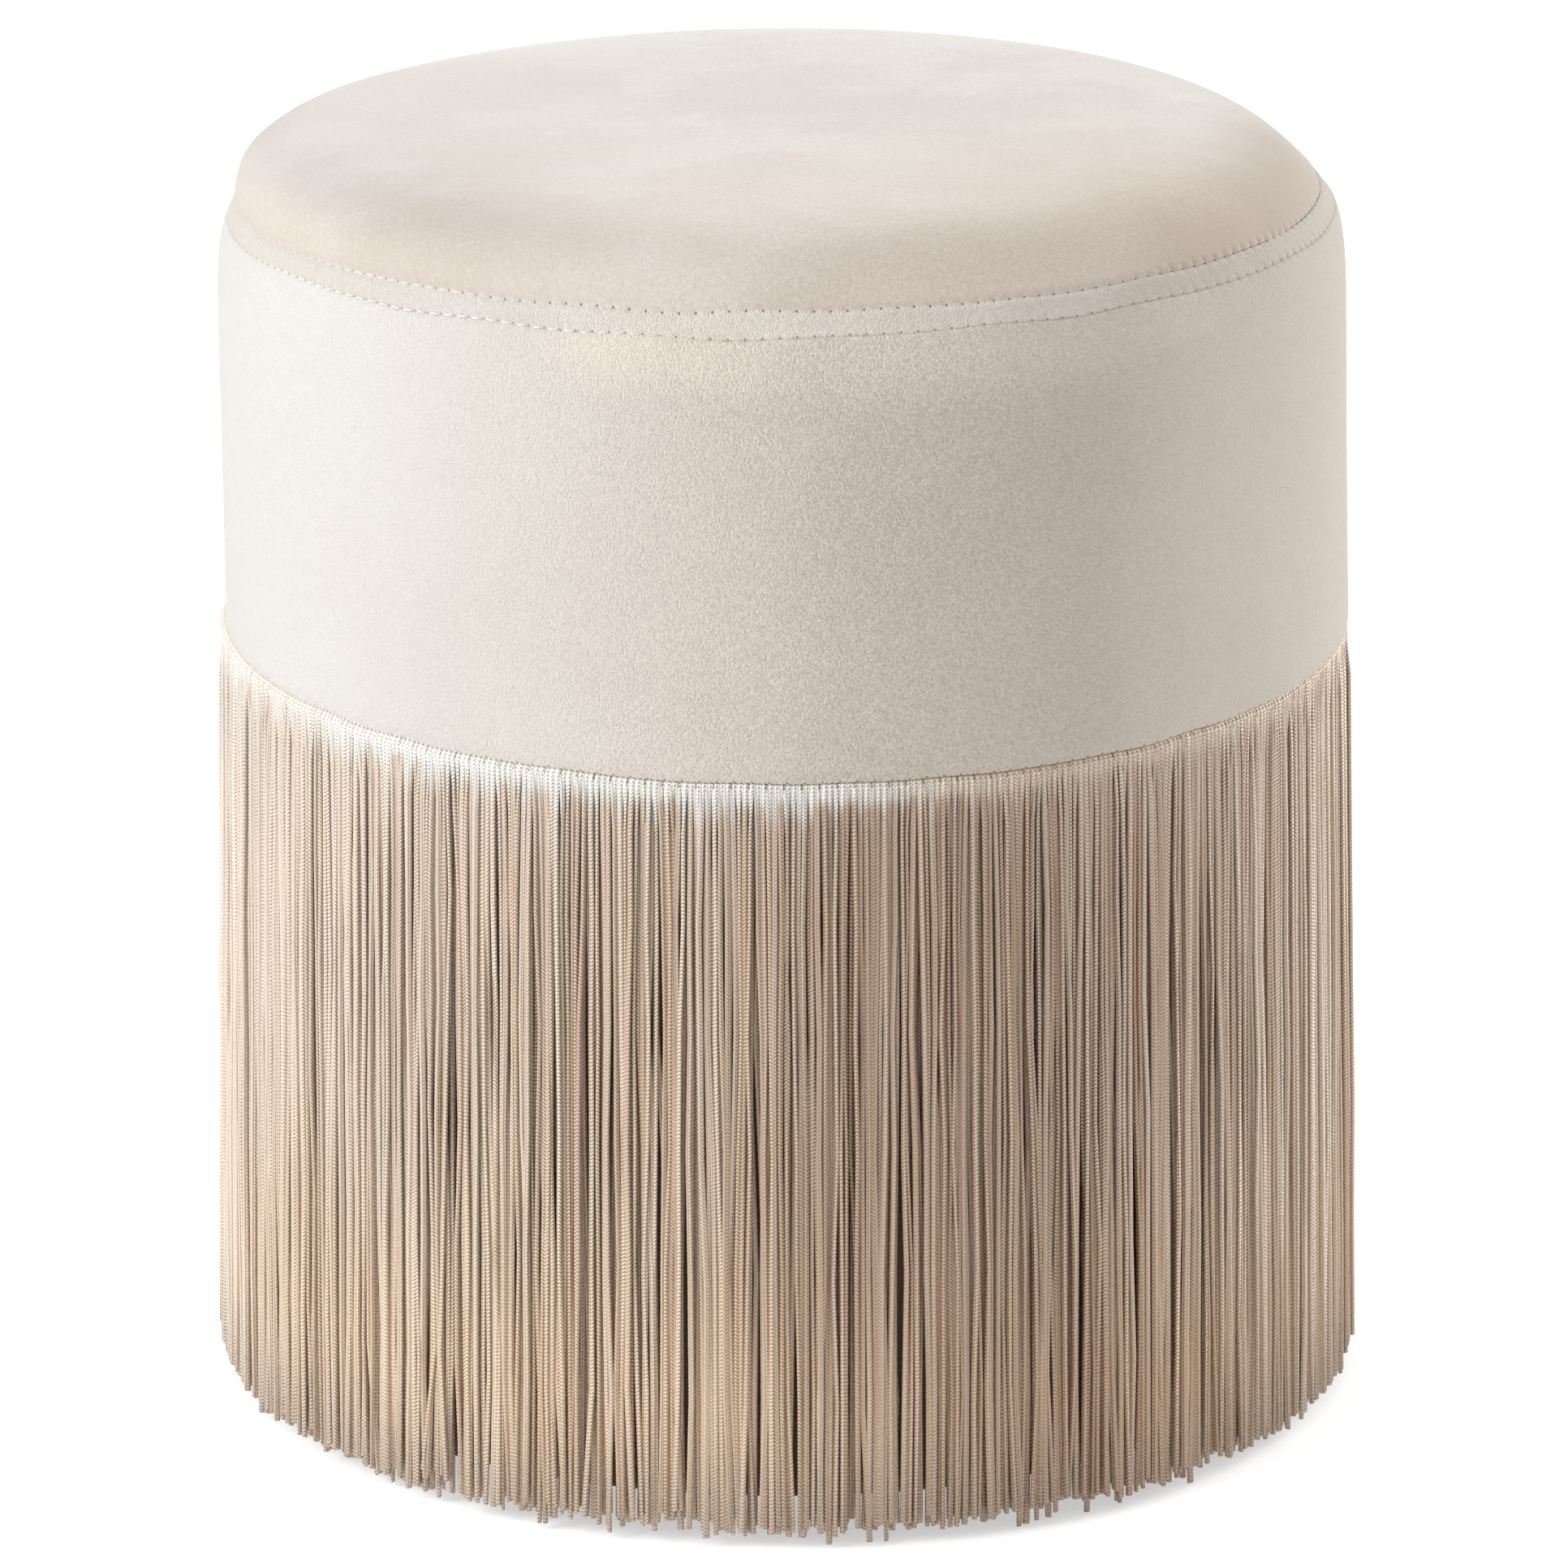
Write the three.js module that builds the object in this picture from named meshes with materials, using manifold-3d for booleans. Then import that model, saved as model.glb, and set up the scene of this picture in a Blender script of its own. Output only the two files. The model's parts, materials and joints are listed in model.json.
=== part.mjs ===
// A round tuffet: a crowned velvet seat on a drum whose lower half is hidden by a long cord fringe.
// Millimetres, +Z up. The origin is on the floor under the drum's axis, and the front faces -Y.
import * as THREE from "three";
import { mergeGeometries, mergeVertices } from "three/addons/utils/BufferGeometryUtils.js";
import Module from "manifold-3d";

const wasm = await Module();
wasm.setup();

// Driving dimensions: the outside of the tuffet.
const seatHeight = 400; // floor to the middle of the crown
const seamDrop = 22.5; // crown down to the seam between the seat and the wall
const shoulderDrop = 80.6; // crown down to where the wall begins to turn in
const fringeEndHeight = 6; // floor to the cut ends of the fringe
const fringeLength = 237; // cut ends up to the hem of the wall, where the fringe comes out
const hemRadius = 174; // velvet wall at its hem
const wallSwell = 0.2; // how much wider the wall is where it begins to turn in
const fringeFlare = 3.3; // how much further out the cords end than they start
const footHeight = 12;

// The turn of wall into crown is a superellipse: one exponent for the wall, one for the crown.
const wallExponent = 7.92;
const crownExponent = 6;

// Gaps that neighbouring pieces keep.
const clearance = 0.3;
const padClearance = 0.5;
const overrun = 5;

// Thicknesses of the layers, from the outside in.
const velvetThickness = 1.5;
const headingThickness = 1.6;
const liningThickness = 0.8;
const sideFoamThickness = 7.4;
const drumWallThickness = 3;
const topBoardThickness = 12;
const baseBoardThickness = 15;
const seatFoamThickness = 62;
const dustCoverThickness = 0.6;

// Fringe: cords hang from the lip of a woven heading.
const headingWidth = 14; // how far the heading reaches up behind the hem
const lipHeight = 3; // the rolled edge that the cords come out of
const lipReach = 0.2; // how far the lip stands outside the cords
const lipBevel = 0.8;
const cordWidth = 2.5;
const cordDepth = 2;
const cordGap = 0.5; // least gap between two cords
const cordRoot = 1; // how far a cord reaches up into the lip
const endScatter = 2.5;
const flareScatter = 0.5;
const cordSides = 4;
const quarters = 4;
const facetsPerQuarter = 10;

// Drum frame.
const postSize = 30;
const postEdgeInset = 18; // board edge to the outer face of a post
const wallJoint = 0.8; // the drum wall's two ends meet with this gap
const frameCorners = 4;

// Feet and fixings.
const footRadius = 14;
const footBevel = 1.5;
const footScrewInset = 4; // how deep the foot screw's head sits in its foot
const footToScrewHead = 2; // foot edge to the head of the nearest post screw
const footScrewLength = 20;
const postScrewLength = 40;
const postScrewInset = 0.4;
const screwHeadRadius = 4;
const screwHeadDepth = 2.4;
const screwHeadRim = 0.4;
const screwShankRadius = 2;
const screwTipLength = 5;
const driveLength = 4.4;
const driveWidth = 0.9;
const driveDepth = 1.2;
const stapleCount = 8;
const stapleInset = 20; // board edge to the staples
const stapleCrown = 10;
const stapleLeg = 9;
const stapleWire = 0.7;
const stapleWireWidth = 1.2;
const dustCoverMargin = 7; // staples to the dust cover's edge
const liningMargin = 8; // staples to the edge of the lining that is turned under

// Smoothness of the round pieces.
const roundFacets = quarters * facetsPerQuarter;
const footFacets = 20;
const screwFacets = 10;
const crownSteps = 6;
const shoulderSteps = 3;

// Heights and radii that follow from the sizes above.
const quarterTurn = (2 * Math.PI) / quarters;
const facetAngle = (2 * Math.PI) / roundFacets;
const goldenAngle = Math.PI * (3 - Math.sqrt(5));
const seamHeight = seatHeight - seamDrop;
const shoulderHeight = seatHeight - shoulderDrop;
const hemHeight = fringeEndHeight + fringeLength;
const wallRadius = hemRadius + wallSwell;
const dustCoverBottom = footHeight + clearance;
const liningBottom = dustCoverBottom + dustCoverThickness + clearance;
const baseBottom = liningBottom + liningThickness + clearance;
const baseTop = baseBottom + baseBoardThickness;
const seatFoamBottom = seatHeight - velvetThickness - padClearance - seatFoamThickness;
const topBoardTop = seatFoamBottom - clearance;
const topBoardBottom = topBoardTop - topBoardThickness;
const lipTop = hemHeight - clearance;
const lipBottom = lipTop - lipHeight;
const lipOuter = hemRadius + cordDepth / 2 + lipReach;
const halfFacet = hemRadius * Math.sin(facetAngle / 2);
const cordsPerFacet = Math.floor((2 * halfFacet) / (cordWidth + cordGap));
const headingTop = hemHeight + headingWidth;
const headingOuter = hemRadius - velvetThickness - clearance;
const headingInner = headingOuter - headingThickness;
const liningOuter = headingInner - clearance;
const liningInner = liningOuter - liningThickness;
const lowerFoamOuter = liningInner - clearance;
const foamInner = lowerFoamOuter - sideFoamThickness;
const drumOuter = foamInner - clearance;
const drumInner = drumOuter - drumWallThickness;
const boardRadius = drumInner - clearance;
const postCircle = boardRadius - postEdgeInset - postSize / 2;
const footCircle = postCircle - screwHeadRadius - footToScrewHead - footRadius;
const stapleCircle = boardRadius - stapleInset;
const foamInset = velvetThickness + padClearance;

// A closed three.js geometry as a solid that can be joined and cut.
function solid(geometry) {
  const bare = geometry.clone();
  bare.deleteAttribute("normal");
  bare.deleteAttribute("uv");
  const merged = mergeVertices(bare);
  const corners = [];
  for (let i = 0; i < merged.index.count; i += 3) {
    const [a, b, c] = merged.index.array.slice(i, i + 3);
    if (a !== b && b !== c && c !== a) corners.push(a, b, c);
  }
  return new wasm.Manifold(
    new wasm.Mesh({
      numProp: 3,
      vertProperties: merged.attributes.position.array,
      triVerts: new Uint32Array(corners),
    }),
  );
}

// A solid back as a three.js geometry, with flat shading.
function shell(made) {
  const mesh = made.getMesh();
  const indexed = new THREE.BufferGeometry();
  indexed.setAttribute("position", new THREE.BufferAttribute(mesh.vertProperties, 3));
  indexed.setIndex(new THREE.BufferAttribute(mesh.triVerts, 1));
  const faceted = indexed.toNonIndexed();
  faceted.computeVertexNormals();
  return faceted;
}

// One geometry with others cut out of it.
function cut(geometry, cutters) {
  return shell(cutters.reduce((left, cutter) => left.subtract(solid(cutter)), solid(geometry)));
}

// A profile of [radius, height] points turned about Z. The first facet corner faces the front.
function turned(profile, facets) {
  const points = profile.map(([radius, height]) => new THREE.Vector2(radius, height));
  return new THREE.LatheGeometry(points, facets).rotateX(Math.PI / 2);
}

// The same for a profile that closes on itself, which makes a ring or a hollow shell.
function turnedRing(profile, facets) {
  return turned([...profile, profile[0]], facets);
}

function disc(radius, bottom, top) {
  return turned([[0, bottom], [radius, bottom], [radius, top], [0, top]], roundFacets);
}

// Copies of a geometry at even angles about Z, starting from firstAngle.
function spread(geometry, count, firstAngle) {
  const angles = Array.from({ length: count }, (_, i) => firstAngle + (i * 2 * Math.PI) / count);
  return angles.map((angle) => geometry.clone().rotateZ(angle));
}

// A number from -1 to 1 that differs from each index to the next and is the same on every run.
function scatter(index) {
  return Math.sin(index * goldenAngle);
}

// How far round the superellipse a height lies, on the surface that is inset from the velvet's face.
function turnAt(height, inset) {
  const rise = (height - shoulderHeight) / (seatHeight - inset - shoulderHeight);
  return Math.asin(Math.max(rise, 0) ** (crownExponent / 2));
}

function shoulderPoint(turn, inset) {
  const across = Math.max(Math.cos(turn), 0) ** (2 / wallExponent);
  const up = Math.sin(turn) ** (2 / crownExponent);
  const radius = (wallRadius - inset) * across;
  return [turn === Math.PI / 2 ? 0 : radius, shoulderHeight + (seatHeight - inset - shoulderHeight) * up];
}

// Points on the turned-in part of the surface, evenly spaced from one turn to another.
function shoulderRun(fromTurn, toTurn, inset, steps) {
  return Array.from({ length: steps + 1 }, (_, i) =>
    shoulderPoint(fromTurn + ((toTurn - fromTurn) * i) / steps, inset),
  );
}

function crownRun(height, inset) {
  return shoulderRun(turnAt(height, inset), Math.PI / 2, inset, crownSteps);
}

// A point on the straight part of the wall, between its hem and its shoulder.
function wallPoint(height, inset) {
  const share = (height - hemHeight) / (shoulderHeight - hemHeight);
  return [hemRadius + wallSwell * share - inset, height];
}

// Points up the outside from one height to another, along the straight wall and round the shoulder.
function sideRun(bottom, top, inset) {
  if (top <= shoulderHeight) return [wallPoint(bottom, inset), wallPoint(top, inset)];
  const round = shoulderRun(turnAt(bottom, inset), turnAt(top, inset), inset, shoulderSteps);
  return bottom < shoulderHeight ? [wallPoint(bottom, inset), ...round] : round;
}

// A countersunk screw pointing up, head face at 0. With growth it is the hole that the screw goes into.
function screwBody(length, growth, mouth) {
  const head = screwHeadRadius + growth;
  const shank = screwShankRadius + growth;
  const profile = [
    [0, -mouth],
    [head, -mouth],
    [head, screwHeadRim],
    [shank, screwHeadDepth],
    [shank, length + growth - screwTipLength],
    [0, length + growth],
  ];
  return turned(profile, screwFacets);
}

function screw(length) {
  const slot = new THREE.BoxGeometry(driveLength, driveWidth, 2 * driveDepth);
  return cut(screwBody(length, 0, 0), [slot, slot.clone().rotateZ(Math.PI / 2)]);
}

function screwHole(length, mouth) {
  return screwBody(length, clearance, mouth);
}

// Screws and their holes in the places that they have on the corner at angle 0.
const footScrewPlace = [footCircle, 0, footScrewInset];
const lowerScrewPlace = [postCircle, 0, baseBottom + postScrewInset];
const upperScrewPlace = [postCircle, 0, topBoardTop - postScrewInset];
const cornerAngle = Math.PI / frameCorners;

function footScrew() {
  return screw(footScrewLength).translate(...footScrewPlace);
}

function lowerPostScrew() {
  return screw(postScrewLength).translate(...lowerScrewPlace);
}

function upperPostScrew() {
  return screw(postScrewLength).rotateX(Math.PI).translate(...upperScrewPlace);
}

function footScrewHole() {
  return screwHole(footScrewLength, footScrewInset + overrun).translate(...footScrewPlace);
}

function lowerPostHole() {
  return screwHole(postScrewLength, overrun).translate(...lowerScrewPlace);
}

function upperPostHole() {
  return screwHole(postScrewLength, overrun).rotateX(Math.PI).translate(...upperScrewPlace);
}

// The pair of slots that a staple's legs stand in, at angle 0.
const stapleBottom = dustCoverBottom - clearance - stapleWire;

function stapleSlots() {
  const reach = stapleLeg + clearance + overrun;
  const acrossLeg = stapleWire + 2 * clearance;
  const alongLeg = stapleWireWidth + 2 * clearance;
  const slot = new THREE.BoxGeometry(alongLeg, acrossLeg, reach);
  const middle = stapleBottom + stapleLeg + clearance - reach / 2;
  const legPlace = (stapleCrown - stapleWire) / 2;
  return mergeGeometries([-legPlace, legPlace].map((y) => slot.clone().translate(stapleCircle, y, middle)));
}

function stapleHoles() {
  return spread(stapleSlots(), stapleCount, Math.PI / stapleCount);
}

function staple() {
  const half = stapleCrown / 2;
  const inner = half - stapleWire;
  const outline = [
    [-half, 0],
    [half, 0],
    [half, stapleLeg],
    [inner, stapleLeg],
    [inner, stapleWire],
    [-inner, stapleWire],
    [-inner, stapleLeg],
    [-half, stapleLeg],
  ];
  const shape = new THREE.Shape(outline.map(([x, y]) => new THREE.Vector2(x, y)));
  const flat = new THREE.ExtrudeGeometry(shape, { depth: stapleWireWidth, bevelEnabled: false });
  const standing = flat.rotateX(Math.PI / 2).translate(0, stapleWireWidth / 2, 0);
  return standing.rotateZ(Math.PI / 2).translate(stapleCircle, 0, stapleBottom);
}

// Frame.
function baseBoard() {
  const lower = spread(lowerPostHole(), frameCorners, cornerAngle);
  const feet = spread(footScrewHole(), frameCorners, cornerAngle);
  return cut(disc(boardRadius, baseBottom, baseTop), [...lower, ...feet, ...stapleHoles()]);
}

function topBoard() {
  const holes = spread(upperPostHole(), frameCorners, cornerAngle);
  return cut(disc(boardRadius, topBoardBottom, topBoardTop), holes);
}

function post() {
  const length = topBoardBottom - baseTop - 2 * clearance;
  const block = new THREE.BoxGeometry(postSize, postSize, length);
  block.translate(postCircle, 0, (topBoardBottom + baseTop) / 2);
  return cut(block, [lowerPostHole(), upperPostHole()]);
}

function drumWall() {
  const profile = [
    [drumInner, baseBottom],
    [drumOuter, baseBottom],
    [drumOuter, topBoardTop],
    [drumInner, topBoardTop],
  ];
  const height = topBoardTop - baseBottom;
  const joint = new THREE.BoxGeometry(wallJoint, drumWallThickness + 2 * overrun, height + 2 * overrun);
  joint.translate(0, (drumInner + drumOuter) / 2, (topBoardTop + baseBottom) / 2);
  return cut(turnedRing(profile, roundFacets), [joint]);
}

// Padding.
function seatFoam() {
  const side = sideRun(seatFoamBottom, seamHeight, foamInset);
  const profile = [[0, seatFoamBottom], ...side.slice(0, -1), ...crownRun(seamHeight, foamInset)];
  return shell(solid(turned(profile, roundFacets)));
}

function sideFoam() {
  const ledge = headingTop + clearance;
  const profile = [
    [foamInner, baseBottom],
    [lowerFoamOuter, baseBottom],
    [lowerFoamOuter, ledge],
    ...sideRun(ledge, topBoardTop, foamInset),
    [foamInner, topBoardTop],
  ];
  return shell(solid(turnedRing(profile, roundFacets)));
}

// Covers.
function seatCover() {
  const edge = seamHeight + clearance / 2;
  const outside = crownRun(edge, 0);
  const inside = crownRun(edge, velvetThickness).reverse();
  return shell(solid(turnedRing([...outside, ...inside], roundFacets)));
}

function sideCover() {
  const edge = seamHeight - clearance / 2;
  const outside = sideRun(hemHeight, edge, 0);
  const inside = sideRun(hemHeight, edge, velvetThickness).reverse();
  return shell(solid(turnedRing([...outside, ...inside], roundFacets)));
}

function lowerLining() {
  const turnedUnder = stapleCircle - liningMargin;
  const flapTop = liningBottom + liningThickness;
  const profile = [
    [turnedUnder, liningBottom],
    [liningOuter, liningBottom],
    [liningOuter, headingTop],
    [liningInner, headingTop],
    [liningInner, flapTop],
    [turnedUnder, flapTop],
  ];
  return cut(turnedRing(profile, roundFacets), stapleHoles());
}

function dustCover() {
  const edge = stapleCircle + dustCoverMargin;
  const feet = spread(footScrewHole(), frameCorners, cornerAngle);
  const sheet = disc(edge, dustCoverBottom, dustCoverBottom + dustCoverThickness);
  return cut(sheet, [...feet, ...stapleHoles()]);
}

function foot() {
  const profile = [
    [0, 0],
    [footRadius - footBevel, 0],
    [footRadius, footBevel],
    [footRadius, footHeight],
    [0, footHeight],
  ];
  return cut(turned(profile, footFacets).translate(footCircle, 0, 0), [footScrewHole()]);
}

// Fringe. The front quarter's heading, with a lip below the hem.
function headingSlice() {
  const profile = [
    [headingInner, lipBottom],
    [lipOuter, lipBottom],
    [lipOuter, lipTop - lipBevel],
    [lipOuter - lipBevel, lipTop],
    [headingOuter, lipTop],
    [headingOuter, headingTop],
    [headingInner, headingTop],
  ];
  const reach = 2 * lipOuter;
  const apex = clearance / Math.SQRT2;
  const corners = [[0, -apex], [-reach, -apex - reach], [reach, -apex - reach]];
  const wedge = new THREE.ExtrudeGeometry(
    new THREE.Shape(corners.map(([x, y]) => new THREE.Vector2(x, y))),
    { depth: headingTop + overrun, bevelEnabled: false },
  );
  return solid(turnedRing(profile, roundFacets)).intersect(solid(wedge));
}

// One cord of four sides on the facet at angle, alongShare of the way along it, flaring outwards.
function cord(index, angle, alongShare) {
  const top = lipBottom + cordRoot;
  const drop = top - fringeEndHeight - endScatter * scatter(index);
  const flare = fringeFlare + flareScatter * scatter(index * index);
  const toFacet = hemRadius * Math.cos(facetAngle / 2);
  const along = 2 * halfFacet * (alongShare - 1 / 2);
  const length = Math.hypot(drop, flare);
  const strand = new THREE.CylinderGeometry(1, 1, 1, cordSides);
  strand.scale(cordWidth / 2, length, cordDepth / 2).rotateX(Math.PI / 2);
  strand.translate(0, 0, -length / 2).rotateX(-Math.atan2(flare, drop));
  return strand.translate(along, -toFacet, top).rotateZ(angle);
}

function fringeQuarter() {
  const cords = [];
  for (let facet = 0; facet < facetsPerQuarter; facet += 1) {
    const angle = (facet + 1 / 2) * facetAngle - quarterTurn / 2;
    for (let i = 0; i < cordsPerFacet; i += 1) {
      const index = facet * cordsPerFacet + i;
      cords.push(cord(index, angle, (i + 1 / 2) / cordsPerFacet));
    }
  }
  return shell(solid(mergeGeometries(cords)).add(headingSlice()));
}

// Materials.
function velvet() {
  return new THREE.MeshStandardMaterial({ color: 0xe3dad0, roughness: 0.95, metalness: 0 });
}

function fringeCord() {
  return new THREE.MeshStandardMaterial({ color: 0xcdb08c, roughness: 0.55, metalness: 0 });
}

function liningCloth() {
  return new THREE.MeshStandardMaterial({ color: 0x7a5f47, roughness: 0.95, metalness: 0 });
}

function blackCloth() {
  return new THREE.MeshStandardMaterial({ color: 0x242322, roughness: 1, metalness: 0 });
}

function plywood() {
  return new THREE.MeshStandardMaterial({ color: 0xcfae7c, roughness: 0.7, metalness: 0 });
}

function softwood() {
  return new THREE.MeshStandardMaterial({ color: 0xdcc08c, roughness: 0.75, metalness: 0 });
}

function hardboard() {
  return new THREE.MeshStandardMaterial({ color: 0x8a6440, roughness: 0.8, metalness: 0 });
}

function foam() {
  return new THREE.MeshStandardMaterial({ color: 0xf0e6b8, roughness: 1, metalness: 0 });
}

function blackPlastic() {
  return new THREE.MeshStandardMaterial({ color: 0x1e1e1e, roughness: 0.45, metalness: 0 });
}

function zincSteel() {
  return new THREE.MeshStandardMaterial({ color: 0xb9bcc0, roughness: 0.35, metalness: 1 });
}

function part(name, geometry, material, turn = 0) {
  const mesh = new THREE.Mesh(geometry, material);
  mesh.name = name;
  mesh.rotation.z = turn;
  return mesh;
}

// The same geometry at each corner of the frame, numbered from 1.
function corners(name, geometry, material) {
  return Array.from({ length: frameCorners }, (_, i) =>
    part(`${name}_${i + 1}`, geometry, material(), cornerAngle + (i * 2 * Math.PI) / frameCorners),
  );
}

function frame() {
  const group = new THREE.Group();
  group.add(part("base_board", baseBoard(), plywood()));
  group.add(part("top_board", topBoard(), plywood()));
  group.add(...corners("post", post(), softwood));
  group.add(...corners("post_screw_lower", lowerPostScrew(), zincSteel));
  group.add(...corners("post_screw_upper", upperPostScrew(), zincSteel));
  group.add(part("drum_wall", drumWall(), hardboard()));
  return group;
}

function upholstery() {
  const group = new THREE.Group();
  group.add(part("seat_foam", seatFoam(), foam()));
  group.add(part("side_foam", sideFoam(), foam()));
  group.add(part("seat_cover", seatCover(), velvet()));
  group.add(part("side_cover", sideCover(), velvet()));
  group.add(part("lower_lining", lowerLining(), liningCloth()));
  return group;
}

function fringe() {
  const group = new THREE.Group();
  const quarter = fringeQuarter();
  const names = ["fringe_front", "fringe_right", "fringe_back", "fringe_left"];
  names.forEach((name, i) => group.add(part(name, quarter, fringeCord(), i * quarterTurn)));
  return group;
}

function underside() {
  const group = new THREE.Group();
  group.add(part("dust_cover", dustCover(), blackCloth()));
  group.add(...corners("foot", foot(), blackPlastic));
  group.add(...corners("foot_screw", footScrew(), zincSteel));
  for (let i = 0; i < stapleCount; i += 1) {
    const turn = ((i + 1 / 2) * 2 * Math.PI) / stapleCount;
    group.add(part(`staple_${i + 1}`, staple(), zincSteel(), turn));
  }
  return group;
}

const tuffet = new THREE.Group();
tuffet.add(frame(), upholstery(), fringe(), underside());
export default tuffet;
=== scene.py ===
import json
import math

import bpy
import numpy as np
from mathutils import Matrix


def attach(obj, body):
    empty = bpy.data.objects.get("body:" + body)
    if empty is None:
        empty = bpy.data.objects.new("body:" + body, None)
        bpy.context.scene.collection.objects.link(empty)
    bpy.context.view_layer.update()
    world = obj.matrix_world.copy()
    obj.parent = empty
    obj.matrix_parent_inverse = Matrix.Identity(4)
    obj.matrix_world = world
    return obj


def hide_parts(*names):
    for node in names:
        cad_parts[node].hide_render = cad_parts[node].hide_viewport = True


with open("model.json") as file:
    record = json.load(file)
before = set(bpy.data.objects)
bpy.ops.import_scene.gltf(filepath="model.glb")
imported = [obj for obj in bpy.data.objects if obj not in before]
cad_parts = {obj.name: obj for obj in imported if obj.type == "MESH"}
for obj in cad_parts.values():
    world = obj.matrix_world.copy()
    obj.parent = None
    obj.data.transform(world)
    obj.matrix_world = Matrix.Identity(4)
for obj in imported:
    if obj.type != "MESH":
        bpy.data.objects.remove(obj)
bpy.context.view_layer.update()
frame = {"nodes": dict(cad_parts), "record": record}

# Tuffet: crowned velvet seat, velvet wall and a long cord fringe round a plywood and hardboard drum.
# Metres, +Z up, origin on the floor under the drum's axis, front towards -Y.

IMAGE_PIXELS = 1932
LENS_PIXELS = 13046.0
SENSOR = 36.0
CAMERA_DISTANCE = 3.150
CAMERA_HEIGHT = 1.2086
CAMERA_PITCH = math.radians(18.0)

HEM_HEIGHT = 0.243
HEM_TILT = 0.008
WALL_RADIUS = 0.1742
WALL_DRAW_IN = -0.00026
WALL_SHIFT_HEM = 0.00095
SEAT_SHIFT = -0.0011
SHOULDER_POWER = 14.6
SEAM_RADIUS = 0.1704
SEAM_HEIGHT = 0.37245
SEAM_LOPSIDED = 0.00024
SEAM_OVAL = -0.00013
SEAM_SADDLE = -0.00022
SEAM_TILT_X = 0.0104
TOPSTITCH_RADIUS = 0.1663
TOPSTITCH_HEIGHT = 0.3788
TOPSTITCH_LOPSIDED = -0.00077
TOPSTITCH_OVAL = 0.00047
TOPSTITCH_SADDLE = -0.00049
TOPSTITCH_TILT_X = 0.0097
SEAT_TILT_Y = -0.0286
CROWN_RISE = 0.0215
CROWN_POWER = 12.6
CROWN_ROUND = 1.67
CROWN_ROUND_SIDE = -1.07
CROWN_ROUND_BACK = 0.52
CROWN_ROUND_LEFT_BACK = 0.60
CROWN_ROUND_RIGHT_BACK = -0.15
CROWN_REACH = 0.9858
CROWN_REACH_SIDE = -0.0234
CROWN_REACH_BACK = -0.0092
REACH_MOST = 0.9998
REACH_SOFT = 0.0016
CROWN_DOME = 0.10
WAVER_POWER = 30
ROW_WAVER = 0.0003
HEM_WAVER = 0.00022
WALL_WAVER = 0.00025
SEAT_WAVER = 0.0004
SEAM_DIP = 0.0007
BAND_SWELL = -0.00015
VELVET_THICKNESS = 0.0015
SEAM_GAP = 0.00006
EDGE_ROLL = 0.00040
GROOVE_DEPTH = 0.0005
GROOVE_WIDTH = 0.0011

STITCHES = 210
STITCH_PITCH_MM = 5.1
ROW_GAP_MM = 7.4
THREAD_RADIUS = 0.00033
SEAM_STITCH = 0.0037
TOP_STITCH = 0.0033
STITCH_DIVE = 0.0008

CORD_WIDTH = 0.00212
CORD_THICKNESS = 0.0015
CORD_SIDES = 6
# For each layer: number of cords, radius at the top and at the cut ends, and how much lower its top is.
CORD_LAYERS = ((610, 0.1743, 0.1784, 0.0), (510, 0.1733, 0.1772, 0.0008), (390, 0.1722, 0.1758, 0.0016))
CORD_TOP = 0.0050
CORD_END = 0.0062
CORD_SHIFT = 0.0008
GRAIN_LENGTH = 0.00117
HEADING_RADIUS = 0.1705
HEADING_THICKNESS = 0.0012
# Length of cord behind the hem, and how much wider a cord is there.
CORD_BEND = 0.0045
CORD_SPLAY = 0.28
# Spread of the places as a share of the pitch, and in metres of the lean, the sway, the curl and the waver.
CORD_JITTER = 0.17
CORD_LEAN = 0.00055
CORD_SHARED_LEAN = 0.0011
CORD_GROUP_LEAN = 0.0006
CORD_SWAY = 0.0007
CORD_CURL = 0.00035
CORD_WAVER = 0.00034
# Share of stray cords, and in metres the spread of the cut ends and their lowest and highest place.
STRAY_SHARE = 0.05
GROUP_CUT = 0.0013
CORD_CUT = 0.0010
STRAY_CUT = 0.0035
CUT_RANGE = (0.0012, 0.014)
PLY_PAIR = 0.0042

ROUND = 630
ROLL_STEPS = 4
PLAIN_ROUND = 240
FLOOR_ROUND = 96


def tone(red, green, blue):
    """A colour written as it shows on screen, 0 to 255, turned into the linear values that Blender works in."""
    c = np.array([red, green, blue]) / 255.0
    linear = np.where(c <= 0.04045, c / 12.92, ((c + 0.055) / 1.055) ** 2.4)
    return (float(linear[0]), float(linear[1]), float(linear[2]), 1.0)


def waves(angle, first, last, seed):
    """Soft unevenness round the drum, about -1 to 1: sines of whole wave numbers with random phases, added."""
    rng = np.random.default_rng(seed)
    k = np.arange(first, last + 1)[:, None]
    phase = rng.uniform(0, 2 * np.pi, k.shape)
    size = rng.uniform(0.4, 1.0, k.shape)
    return (size * np.sin(k * np.asarray(angle)[None, :] + phase)).sum(0) / np.sqrt((size ** 2).sum())


def wrapped(angle):
    """The angle brought to between half a turn back and half a turn on."""
    return (np.asarray(angle) + np.pi) % (2 * np.pi) - np.pi


def hump(angle, middle, width):
    """A bell curve round the drum: 1 at the middle, by the square of the angle from it over the width, in degrees."""
    return np.exp(-(wrapped(angle - math.radians(middle)) / math.radians(width)) ** 2)


def unit(vectors):
    """The vectors brought to a length of 1."""
    return vectors / (np.linalg.norm(vectors, axis=-1, keepdims=True) + 1e-12)


def round_points(radius, angle, height, shift=0.0):
    """Points from radius, angle and height round the drum's axis, with a shift in x."""
    return np.stack(np.broadcast_arrays(shift + radius * np.cos(angle), radius * np.sin(angle), height), -1)


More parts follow.
